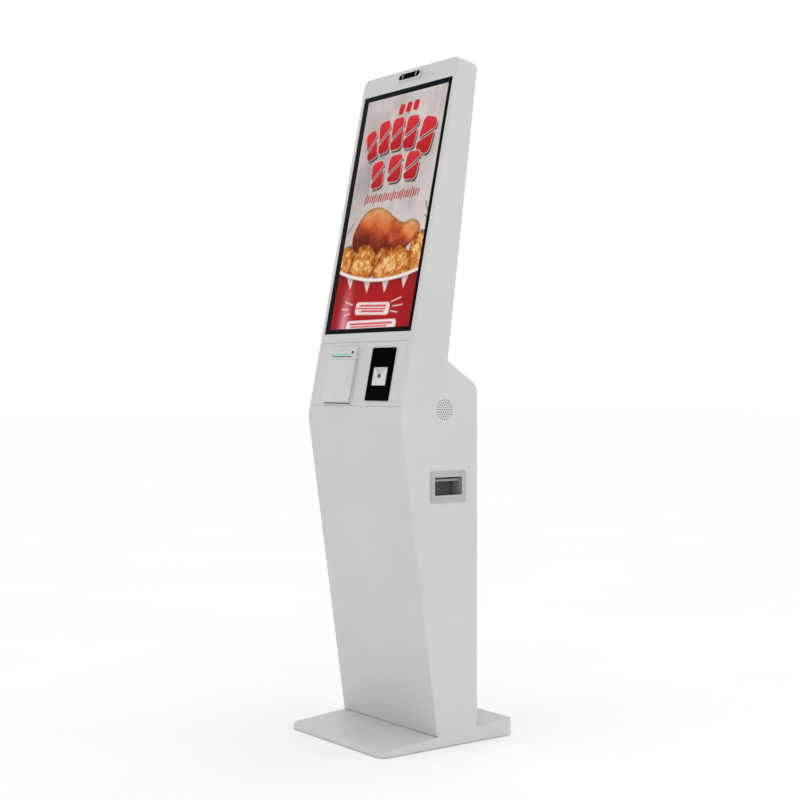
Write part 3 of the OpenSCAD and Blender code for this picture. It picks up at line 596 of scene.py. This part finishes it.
def guard_group():
    """Concentric wire rings about each point, across its facing direction."""
    group, given = new_group(
        "wire_guard", Rings="Int", First_radius="Float", Step="Float",
        Wire_radius="Float", Material="Material",
    )
    centres = add(group, "GeometryNodeMeshLine", {"Offset": (0, 0, 0)}, Count=given["Rings"])
    order = add(group, "GeometryNodeInputIndex").outputs["Index"]
    radius = add(
        group, "ShaderNodeMath", {"operation": "MULTIPLY_ADD"},
        i0=order, i1=given["Step"], i2=given["First radius"],
    ).outputs["Value"]
    circle = add(group, "GeometryNodeCurvePrimitiveCircle", {"Resolution": 48, "Radius": 1.0})
    rings = add(
        group, "GeometryNodeInstanceOnPoints",
        Points=centres.outputs["Mesh"], Instance=circle.outputs["Curve"], Scale=radius,
    ).outputs["Instances"]
    lines = add(group, "GeometryNodeRealizeInstances", Geometry=rings).outputs["Geometry"]
    profile = add(
        group, "GeometryNodeCurvePrimitiveCircle", {"Resolution": 8}, Radius=given["Wire radius"]
    ).outputs["Curve"]
    wire = add(
        group, "GeometryNodeCurveToMesh", Curve=lines, Profile_Curve=profile
    ).outputs["Mesh"]
    placed = add(
        group, "GeometryNodeInstanceOnPoints",
        Points=given["Geometry"], Instance=wire, Rotation=facing_turn(group),
    ).outputs["Instances"]
    return close_group(group, given, placed)


def point_mesh(points, facing):
    """Loose points that all face one way."""
    mesh = bpy.data.meshes.new("points")
    mesh.from_pydata([tuple(p) for p in points], [], [])
    way = mesh.attributes.new("facing", "FLOAT_VECTOR", "POINT")
    way.data.foreach_set("vector", list(facing) * len(points))
    return mesh


def grow(name, group, points, facing, body, **values):
    """Runs a group on points and keeps what it makes as one plain mesh on a body."""
    seed = bpy.data.objects.new(name + "_points", point_mesh(points, facing))
    bpy.context.scene.collection.objects.link(seed)
    step = seed.modifiers.new("grow", "NODES")
    step.node_group = group
    names = {
        item.name: item.identifier
        for item in group.interface.items_tree if item.in_out == "INPUT"
    }
    for label, value in values.items():
        step[names[label.replace("_", " ")]] = value
    view = bpy.context.evaluated_depsgraph_get()
    mesh = bpy.data.meshes.new_from_object(seed.evaluated_get(view))
    mesh.name = name
    bpy.data.objects.remove(seed)
    mesh.shade_smooth()
    mesh.set_sharp_from_angle(angle=SMOOTH_UNDER)
    return kept_object(name, mesh, body)


def turned(name, profile, segments=24):
    """A part turned about Z from (radius, height, sides); sides is 0 where it is round."""
    shape = bmesh.new()
    rings = []
    for radius, height, sides in profile:
        ring = []
        for i in range(segments):
            angle = i * math.tau / segments
            reach = radius
            if sides:
                half = math.pi / sides
                reach = radius / math.cos((angle + half) % (2 * half) - half)
            ring.append(shape.verts.new((
                reach * math.cos(angle) * MM, reach * math.sin(angle) * MM, height * MM
            )))
        rings.append(ring)
    for low, high in zip(rings, rings[1:]):
        for i in range(segments):
            j = (i + 1) % segments
            shape.faces.new((low[i], low[j], high[j], high[i]))
    shape.faces.new(list(reversed(rings[0])))
    shape.faces.new(rings[-1])
    return template(name, shape)


def louvre(name, half_length):
    """A pressed hood that is closed along its top and open along its lower edge."""
    shape = bmesh.new()
    columns, rows = 20, 5
    half_height, proud, sheet = 2.3, 2.0, 0.5
    grid = []
    for j in range(rows + 1):
        v = j / rows
        line = []
        for i in range(columns + 1):
            u = 2 * i / columns - 1
            rise = proud * (1 - u**8) * math.sin(v * math.pi / 2)
            line.append(shape.verts.new((
                u * half_length * MM, half_height * (2 * v - 1) * MM, (0.1 + rise) * MM
            )))
        grid.append(line)
    for low, high in zip(grid, grid[1:]):
        for i in range(columns):
            shape.faces.new((low[i], low[i + 1], high[i + 1], high[i]))
    bmesh.ops.solidify(shape, geom=list(shape.faces), thickness=sheet * MM)
    return template(name, shape)


def template(name, shape):
    """A part to scatter, with its faces turned outwards."""
    bmesh.ops.recalc_face_normals(shape, faces=shape.faces)
    made = bpy.data.objects.new(name, plain_mesh(shape, name, []))
    bpy.context.scene.collection.objects.link(made)
    return made


SCATTER = scatter_group()
DOME_SCREW = turned("dome_screw", [
    (1.5, 0.6, 6), (1.5, 1.75, 6), (2.1, 1.7, 0), (2.8, 1.35, 0), (3.3, 0.8, 0), (3.5, 0.2, 0),
    (3.5, 0, 0),
][::-1])
FLAT_SCREW = turned("flat_screw", [
    (2.6, 0, 0), (2.6, 0.3, 0), (2.4, 0.45, 0), (1.1, 0.45, 6), (1.1, 0.1, 6),
])
VENT_HOLE = turned("vent_hole", [(1.9, 0, 6), (1.9, 0.12, 6)], 12)
LONG_LOUVRE = louvre("long_louvre", 34)
SHORT_LOUVRE = louvre("short_louvre", 32)
BACK_LENGTH = (HEAD_BACK - WAIST).length / MM
REARWARD = Vector((0, 1, 0))
# Places on the back of the case, in millimetres.
SCREW_X = 182
COLUMN_SCREW_Z = (60, 300, 560, 822, 840)
FAN_UP = 330
FAN_LOUVRE_PITCH = 7
VENT_X = 105
VENT_FEET = (60, 600)
VENT_PITCH = 8
VENT_MIDDLE = 1.6


def on_back(x, up, out=0.0):
    """A place on the leaning back: across, up from the waist and out, in mm."""
    return BACK @ Vector((x * MM, up * MM, -out * MM))


head_screws = [
    on_back(x, up)
    for x in (-SCREW_X, -62, 62, SCREW_X) for up in (26, BACK_LENGTH - 32)
]
head_screws += [on_back(x, i * BACK_LENGTH / 4) for x in (-SCREW_X, SCREW_X) for i in (1, 2, 3)]
column_screws = [
    Vector((x * MM, REAR_Y, z * MM)) for x in (-SCREW_X, SCREW_X) for z in COLUMN_SCREW_Z
]
screws = [
    grow("head_screws", SCATTER, head_screws, BACK_OUT, "cabinet",
         Part=DOME_SCREW, Spin=math.tau, Seed=3, Material=STEEL),
    grow("column_screws", SCATTER, column_screws, REARWARD, "cabinet",
         Part=DOME_SCREW, Spin=math.tau, Seed=4, Material=STEEL),
]
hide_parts("case_screws")
HINGE_SCREW_Z = (240, 270, 700, 730)
for name, x, body in (
    ("hinge_frame_screws", -180, "cabinet"), ("hinge_door_screws", -152, "rear_door")
):
    heads = [Vector((x * MM, REAR_Y + 2 * MM, z * MM)) for z in HINGE_SCREW_Z]
    made = grow(name, SCATTER, heads, REARWARD, body,
                Part=FLAT_SCREW, Spin=math.tau, Seed=5, Material=STEEL)
fan_rows = [on_back(0, FAN_UP + i * FAN_LOUVRE_PITCH) for i in range(-4, 5)]
fan_louvres = grow(
    "fan_louvres", SCATTER, fan_rows, BACK_OUT, "cabinet",
    Part=LONG_LOUVRE, Spin=0.0, Seed=0, Material=WHITE_COAT,
)
vent_rows = [
    on_back(side * VENT_X, foot + i * VENT_PITCH + VENT_MIDDLE)
    for side in (-1, 1) for foot in VENT_FEET for i in range(8)
]
vent_louvres = grow(
    "vent_louvres", SCATTER, vent_rows, BACK_OUT, "cabinet",
    Part=SHORT_LOUVRE, Spin=0.0, Seed=0, Material=WHITE_COAT,
)
fan_guard = grow(
    "fan_guard", guard_group(), [on_back(0, FAN_UP, -28.5)], BACK_OUT, "cabinet",
    Rings=6, First_radius=6 * MM, Step=6 * MM, Wire_radius=0.7 * MM, Material=STEEL,
)
computer_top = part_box("computer_box")[1].z
heat_fins = grow(
    "computer_heat_fins", fin_group(),
    [Vector((-84 * MM, -27 * MM, computer_top + 6 * MM))], REARWARD, "cabinet",
    Count=34, Pitch=5.1 * MM, Length=50 * MM, Height=12 * MM, Thickness=1.4 * MM,
    Material=BLACK_ABS,
)
supply_low, supply_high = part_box("power_supply")
vent_grid = [
    Vector((supply_low.x + (12 + 5 * i + 2.5 * (j % 2)) * MM, supply_high.y,
            supply_low.z + (8 + 4.4 * j) * MM))
    for i in range(21) for j in range(7)
]
supply_vents = grow(
    "power_supply_vents", SCATTER, vent_grid, REARWARD, "cabinet",
    Part=VENT_HOLE, Spin=0.0, Seed=0, Material=BLACK_ABS,
)
for part in (DOME_SCREW, FLAT_SCREW, VENT_HOLE, LONG_LOUVRE, SHORT_LOUVRE):
    bpy.data.objects.remove(part)


# ---- The menu picture: a plain still life of food in a bowl, painted in millimetres ----
# The edges of the lit picture on the leaning face, and the place that the painting counts from.
PICTURE_LEFT, PICTURE_RIGHT = -160, 168.5
PICTURE_FOOT, PICTURE_TOP = 221, 823
PAINT_X, PAINT_Y = -168, 223
PICTURE_OUT = -0.25
PICTURE_DEPTH = 0.1
CELL = 2.1


def shade(hex_code):
    """An sRGB hex colour as three values from 0 to 1."""
    return np.array([int(hex_code[i : i + 2], 16) / 255 for i in (1, 3, 5)])


def clouds(chance, x, y, wide, tall):
    """Smooth random values from 0 to 1 in blobs of about wide by tall."""
    table = chance.random((int(y.max() / tall) + 3, int(x.max() / wide) + 3))
    column, row = (x / wide).astype(int), (y / tall).astype(int)
    fx, fy = x / wide - column, y / tall - row
    fx, fy = fx * fx * (3 - 2 * fx), fy * fy * (3 - 2 * fy)
    low = table[row, column] * (1 - fx) + table[row, column + 1] * fx
    high = table[row + 1, column] * (1 - fx) + table[row + 1, column + 1] * fx
    return low * (1 - fy) + high * fy


def tile(x, y, centre, size, lean):
    """Distance in mm to a leaning block with round corners, under zero inside."""
    a = math.radians(lean)
    u = (x - centre[0]) * math.cos(a) + (y - centre[1]) * math.sin(a)
    v = (y - centre[1]) * math.cos(a) - (x - centre[0]) * math.sin(a)
    corner = 0.28 * min(size)
    du = np.abs(u) - size[0] / 2 + corner
    dv = np.abs(v) - size[1] / 2 + corner
    return np.hypot(np.maximum(du, 0), np.maximum(dv, 0)) + np.minimum(
        np.maximum(du, dv), 0) - corner


def split_tile(x, y, centre, size, lean):
    """A leaning block that a narrow slanting slit cuts in two."""
    slit = tile(x, y, centre, (5, 2 * size[1]), lean - 58)
    return np.maximum(tile(x, y, centre, size, lean), 2 - slit)


def outline(x, y, points):
    """Distance in mm to a closed outline whose corners are cut twice, under zero inside."""
    for _ in range(2):
        ends = points[1:] + points[:1]
        points = [
            tuple(a * (1 - t) + b * t for a, b in zip(p, q))
            for p, q in zip(points, ends) for t in (0.25, 0.75)
        ]
    inside = np.zeros(x.shape, bool)
    nearest = np.full(x.shape, 1e9)
    for (ax, ay), (bx, by) in zip(points, points[1:] + points[:1]):
        t = ((x - ax) * (bx - ax) + (y - ay) * (by - ay)) / ((bx - ax) ** 2 + (by - ay) ** 2)
        t = np.clip(t, 0, 1)
        nearest = np.minimum(nearest, np.hypot(x - ax - t * (bx - ax), y - ay - t * (by - ay)))
        crosses = (ay > y) != (by > y)
        inside ^= crosses & (x < (bx - ax) * (y - ay) / (by - ay + 1e-9) + ax)
    return np.where(inside, -nearest, nearest)


def facet(x, y, corners):
    """Distance in mm to a shape whose corners run clockwise, under zero inside."""
    sides = [
        ((bx - ax) * (y - ay) - (by - ay) * (x - ax)) / math.hypot(bx - ax, by - ay)
        for (ax, ay), (bx, by) in zip(corners, corners[1:] + corners[:1])
    ]
    return np.max(sides, axis=0)


def blend_of(value, *shades):
    """Runs through several shades as value goes from 0 to 1."""
    value = np.clip(value, 0, 1) * (len(shades) - 1)
    mixed = np.broadcast_to(shades[0], (*value.shape, 3)).copy()
    for i, (low, high) in enumerate(zip(shades, shades[1:])):
        part = np.clip(value - i, 0, 1)[..., None]
        mixed += part * (high - low)
    return mixed


def lay(image, distance, paint, soft=2.2):
    """Lays paint over the image wherever distance is under zero."""
    cover = np.clip(0.5 - distance / soft, 0, 1)[..., None]
    return image * (1 - cover) + paint * cover


MENU_RED, DARK_RED = shade("#c8232a"), shade("#a9191f")
# The bowl, in mm from where the painting counts: its middle, and its rim's foot and rise.
BOWL_MIDDLE, BOWL_REACH = 190, 182
RIM_LOW, RIM_RISE = 123, 29
# The small flags that hang from its rim.
FLAGS, FIRST_FLAG, FLAG_PITCH = 4, 58, 76.8
FLAG_HALF, FLAG_DROP = 17, 37
# Each tile is its middle, its width and height in mm, and its lean in degrees.
HEADING_TILES = [
    ((55, 478), (42, 78), 17), ((104, 494), (43, 86), 9), ((158, 496), (46, 84), 2),
    ((215, 493), (48, 84), -5), ((281, 477), (56, 92), -13),
    ((101, 396), (48, 70), 7), ((172, 405), (54, 70), 1), ((241, 405), (54, 72), -5),
]
SMALL_TILES = [
    ((161, 559), (20, 27), -12), ((190, 561), (20, 27), -12), ((219, 562), (21, 27), -12),
]
STROKE_TILES = [
    ((70 + i * 9.4, 333), (4.6 - 0.6 * (i % 3), 19 + 8 * (i % 4 == 0)), -14) for i in range(24)
]
# Two pale badges on the bowl with rays beside them, and the red bars that cross the badges.
BADGES = [
    ((176, 47), (142, 32), -2), ((180, 2), (206, 32), 0),
    ((72, 64), (38, 3), -16), ((60, 49), (30, 3), -4), ((72, 35), (26, 3), 8),
    ((270, 66), (42, 3), 14), ((278, 51), (40, 3), 4), ((268, 36), (30, 3), -8),
]
BADGE_BARS = [
    ((176, 54), (112, 4), -2), ((170, 47), (124, 3), -2), ((178, 40), (96, 4), -2),
    ((180, 9), (176, 4), 0), ((172, 2), (150, 3), 0),
]
# The roast leg and the crumbed pieces, each as the corners that its curve is cut from.
ROAST = [
    (44, 205), (38, 240), (55, 275), (84, 303), (126, 311), (170, 299), (205, 277), (246, 257),
    (272, 266), (300, 264), (322, 240), (306, 216), (286, 204), (250, 178), (150, 172), (90, 185),
]
CRUMBED = [
    [(-20, 110), (-20, 190), (6, 214), (40, 220), (62, 196), (70, 120)],
    [(34, 120), (48, 176), (76, 214), (112, 216), (140, 200), (160, 178), (156, 120)],
    [(138, 150), (150, 186), (176, 204), (206, 196), (216, 150)],
    [(282, 130), (286, 196), (300, 222), (330, 238), (360, 236), (360, 130)],
    [(148, 110), (160, 168), (196, 195), (252, 204), (288, 190), (304, 160), (296, 110)],
]
# Thin twigs behind the food, each as its middle, size and lean.
SPRIGS = [((334, 286), (3, 44), 28), ((340, 262), (3, 30), 50), ((24, 262), (3, 34), -38)]


def lay_tiles(image, x, y, tiles, paint):
    """Lays one colour over the image inside each tile."""
    for centre, size, lean in tiles:
        image = lay(image, tile(x, y, centre, size, lean), paint)
    return image


def backdrop(chance, x, y):
    """A pale plastered wall, darker on the left, under the heading's split blocks."""
    wash = 0.4 * clouds(chance, x, y, 80, 110) + 0.35 * clouds(chance, x, y, 26, 34)
    wash += 0.25 * clouds(chance, x, y, 6, 60)
    wash -= 0.45 * np.exp(-((x - 50) / 90) ** 2 - ((y - 420) / 130) ** 2)
    image = blend_of(
        wash + 0.1, shade("#a39a97"), shade("#bbb1ae"), shade("#cbc3c0"), shade("#d5cecb")
    )
    for centre, size, lean in HEADING_TILES:
        shadow = split_tile(x - 6, y + 7, centre, size, lean)
        image = lay(image, shadow, shade("#3c3335"))
    for centre, size, lean in HEADING_TILES:
        paint = blend_of(
            (y - centre[1]) / size[1] + 0.5, DARK_RED, MENU_RED, shade("#d3323a")
        )
        block = split_tile(x, y, centre, size, lean)
        image = lay(image, block - 2.5, shade("#cdc3c0"))
        image = lay(image, block, paint)
    image = lay_tiles(image, x, y, SMALL_TILES, MENU_RED)
    image = lay_tiles(image, x, y, STROKE_TILES, DARK_RED)
    return lay_tiles(image, x, y, SPRIGS, shade("#6d4a34"))


def lay_roast(image, chance, x, y):
    """A roast leg: golden above and at its knuckle, dark red-brown low on the left."""
    edge = outline(x, y, ROAST)
    lit = (y - 190) / 120 + 0.4 * (clouds(chance, x, y, 26, 22) - 0.5)
    lit += 0.15 * (clouds(chance, x, y, 6, 5) - 0.5)
    lit += 0.45 * np.exp(-((x - 285) ** 2 + (y - 240) ** 2) / 1400)
    lit -= 0.35 * np.exp(-((x - 75) ** 2 / 2600 + (y - 222) ** 2 / 1500))
    tone = blend_of(
        lit, shade("#6a2214"), shade("#9b3a20"), shade("#c76030"), shade("#d8864a"),
        shade("#dea770"),
    )
    gloss = np.exp(-((x - 96) ** 2 / 900 + (y - 284) ** 2 / 160))[..., None]
    tone = tone + 0.2 * gloss * (1 - tone)
    return lay(image, edge, tone * (1 - 0.35 * np.exp(-np.abs(edge) / 5)[..., None]))


def lay_crumbed(image, chance, x, y, points):
    """One crumbed piece, with a ragged edge and craggy light and dark crumbs."""
    edge = outline(x, y, points) + 7 * (clouds(chance, x, y, 9, 9) - 0.5)
    rough = 0.55 * clouds(chance, x, y, 5, 5) + 0.45 * clouds(chance, x, y, 14, 12)
    depth = np.clip(-edge / 26, 0, 1)
    tone = blend_of(
        1.3 * rough - 0.25 + 0.35 * depth,
        shade("#86360f"), shade("#ba5f20"), shade("#d0853c"), shade("#ecc58a"),
    )
    return lay(image, edge, tone * (1 - 0.4 * np.exp(-np.abs(edge) / 4)[..., None]))


def bowl_rim(x):
    """Height of the bowl's rim, which curves up towards both ends."""
    return RIM_LOW + RIM_RISE * ((x - BOWL_MIDDLE) / BOWL_REACH) ** 2


def flag(number):
    """The clockwise corners of one flag, with a tip that leans less to the right each time."""
    middle_x = FIRST_FLAG + FLAG_PITCH * number
    top = bowl_rim(middle_x) - 2
    tip = (middle_x + 9 - 2.5 * number, top - FLAG_DROP)
    return [(middle_x - FLAG_HALF, top), (middle_x + FLAG_HALF, top), tip]


def lay_bowl(image, chance, x, y):
    """A red bowl with a pale rim, small flags, two badges and a soft gloss on its left."""
    rim = bowl_rim(x)
    bowl = blend_of(
        0.2 + 0.6 * np.exp(-((x - BOWL_MIDDLE) / 120) ** 2) + 0.1 * clouds(chance, x, y, 30, 40),
        shade("#771618"), shade("#a2181a"), shade("#ae1c1d"),
    )
    glow = np.exp(-((x - 63) ** 2) / 480) * np.clip(1.1 - y / 130, 0, 0.9)
    bowl = bowl + glow[..., None] * (shade("#dc9cab") - bowl)
    for number in range(FLAGS):
        bowl = lay(bowl, facet(x, y, flag(number)), shade("#e0d3d1"))
    bowl = lay_tiles(bowl, x, y, BADGES, shade("#e6dad8"))
    bowl = lay_tiles(bowl, x, y, BADGE_BARS, MENU_RED)
    image = lay(image, y - rim + 8, bowl * (1 - 0.3 * np.exp((y - rim + 8) / 9)[..., None]))
    lip = blend_of((y - rim + 9) / 9, shade("#cfbfb8"), shade("#f3ece6"), shade("#e2d5cc"))
    return lay(image, np.abs(y - rim + 4) - 4.5, lip)


def painted_picture(x, y):
    """The picture's sRGB colours at each point of the grid x, y."""
    chance = np.random.default_rng(11)
    image = backdrop(chance, x, y)
    image = lay_roast(image, chance, x, y)
    for points in CRUMBED:
        image = lay_crumbed(image, chance, x, y, points)
    return np.clip(lay_bowl(image, chance, x, y), 0, 1)


def menu_picture():
    """A thin lit sheet on the glass, fine enough that its points can carry the painting."""
    columns = int((PICTURE_RIGHT - PICTURE_LEFT) / CELL) + 1
    rows = int((PICTURE_TOP - PICTURE_FOOT) / CELL) + 1
    across, up = np.meshgrid(
        np.linspace(PICTURE_LEFT, PICTURE_RIGHT, columns),
        np.linspace(PICTURE_FOOT, PICTURE_TOP, rows),
    )
    srgb = painted_picture(across - PAINT_X, up - PAINT_Y).reshape(-1, 3)
    light = np.where(srgb <= 0.04045, srgb / 12.92, ((srgb + 0.055) / 1.055) ** 2.4)
    shape = bmesh.new()
    paint = shape.verts.layers.float_color.new("picture")
    points = []
    for x, y, tone in zip(across.ravel(), up.ravel(), light):
        point = shape.verts.new(FACE @ (Vector((x, y, PICTURE_OUT)) * MM))
        point[paint] = (*tone, 1.0)
        points.append(point)
    for j in range(rows - 1):
        for i in range(columns - 1):
            first = j * columns + i
            shape.faces.new((
                points[first], points[first + 1],
                points[first + columns + 1], points[first + columns],
            ))
    rim = [e for e in shape.edges if e.is_boundary]
    walls = bmesh.ops.extrude_edge_only(shape, edges=rim)["geom"]
    back = [v for v in walls if isinstance(v, bmesh.types.BMVert)]
    bmesh.ops.translate(shape, verts=back, vec=FACE.to_3x3() @ Vector((0, 0, -PICTURE_DEPTH * MM)))
    bmesh.ops.holes_fill(shape, edges=[e for e in shape.edges if e.is_boundary])
    bmesh.ops.recalc_face_normals(shape, faces=shape.faces)
    mesh = plain_mesh(shape, "menu_picture", [PICTURE_LIGHT])
    kept_object("menu_picture", mesh, "cabinet")


menu_picture()


# ---- A dark rubber strip under the printer's bezel: painted shadow below the printer cover ----
def face_bar(name, low, high, material, radius_mm, body):
    """A softly rounded bar between two corners given on the face, in mm."""
    shape = bmesh.new()
    bmesh.ops.create_cube(shape, size=1)
    centre = (Vector(low) + Vector(high)) / 2
    size = Vector(high) - Vector(low)
    for point in shape.verts:
        place = Vector(a * b for a, b in zip(point.co, size)) + centre
        point.co = FACE @ (place * MM)
    round_edges(shape, lambda e: True, radius_mm)
    kept_object(name, plain_mesh(shape, name, [material]), body)


# This dark strip is painted shadow: it stands where the printer cover casts its shadow.
face_bar(
    "printer_bezel_seal", (-128, 31, 0.05), (-18, 32.95, 2.4), SHADOW_STRIP_RUBBER, 0.6,
    "cabinet",
)


# ---- Stage ----
CAMERA_PLACE = (2.9214, -2.1956, 0.874)
CAMERA_LENS = 65.86
CAMERA_DIP = 0.689
CAMERA_TURN = 53.05
FLOOR_REACH = 30


def stage():
    """An even white sky and a wide pale floor."""
    world = bpy.data.worlds.new("studio")
    world.use_nodes = True
    sky = world.node_tree.nodes["Background"]
    sky.inputs["Color"].default_value = (1, 1, 1, 1)
    sky.inputs["Strength"].default_value = 1.0
    bpy.context.scene.world = world
    floor_mesh = bpy.data.meshes.new("studio_floor")
    signs = [(-1, -1), (1, -1), (1, 1), (-1, 1)]
    floor_mesh.from_pydata(
        [(FLOOR_REACH * x, FLOOR_REACH * y, 0) for x, y in signs], [], [(0, 1, 2, 3)]
    )
    floor_stuff, tree, surface, place = new_material("pale_floor", Roughness=0.9)
    surface.inputs["Specular IOR Level"].default_value = 0.1
    faint = spread(tree, grain(tree, place, 900, 2), 0, 1)
    tree.links.new(tint(tree, faint, "#ffffff", "#fcfcfc"), surface.inputs["Base Color"])
    floor_mesh.materials.append(floor_stuff)
    floor = bpy.data.objects.new("studio_floor", floor_mesh)
    bpy.context.scene.collection.objects.link(floor)


def soft_light(name, place, target, size, power):
    """A square softbox that faces its target."""
    lamp = bpy.data.lights.new(name, "AREA")
    lamp.shape = "SQUARE"
    lamp.size = size
    lamp.energy = power
    made = bpy.data.objects.new(name, lamp)
    made.location = place
    made.rotation_euler = (Vector(target) - Vector(place)).to_track_quat("-Z", "Y").to_euler()
    bpy.context.scene.collection.objects.link(made)


def camera():
    """The camera that looks at the kiosk from its front right."""
    lens = bpy.data.cameras.new("camera")
    lens.lens = CAMERA_LENS
    lens.sensor_width = 36
    lens.clip_end = 100
    made = bpy.data.objects.new("camera", lens)
    made.location = CAMERA_PLACE
    made.rotation_euler = (math.radians(90 - CAMERA_DIP), 0, math.radians(CAMERA_TURN))
    bpy.context.scene.collection.objects.link(made)
    bpy.context.scene.camera = made


stage()
soft_light("side_softbox", (3.5, 0.4, 2.2), (0, 0, 0.9), 2.5, 12)
camera()
bpy.context.scene.view_settings.view_transform = "Standard"
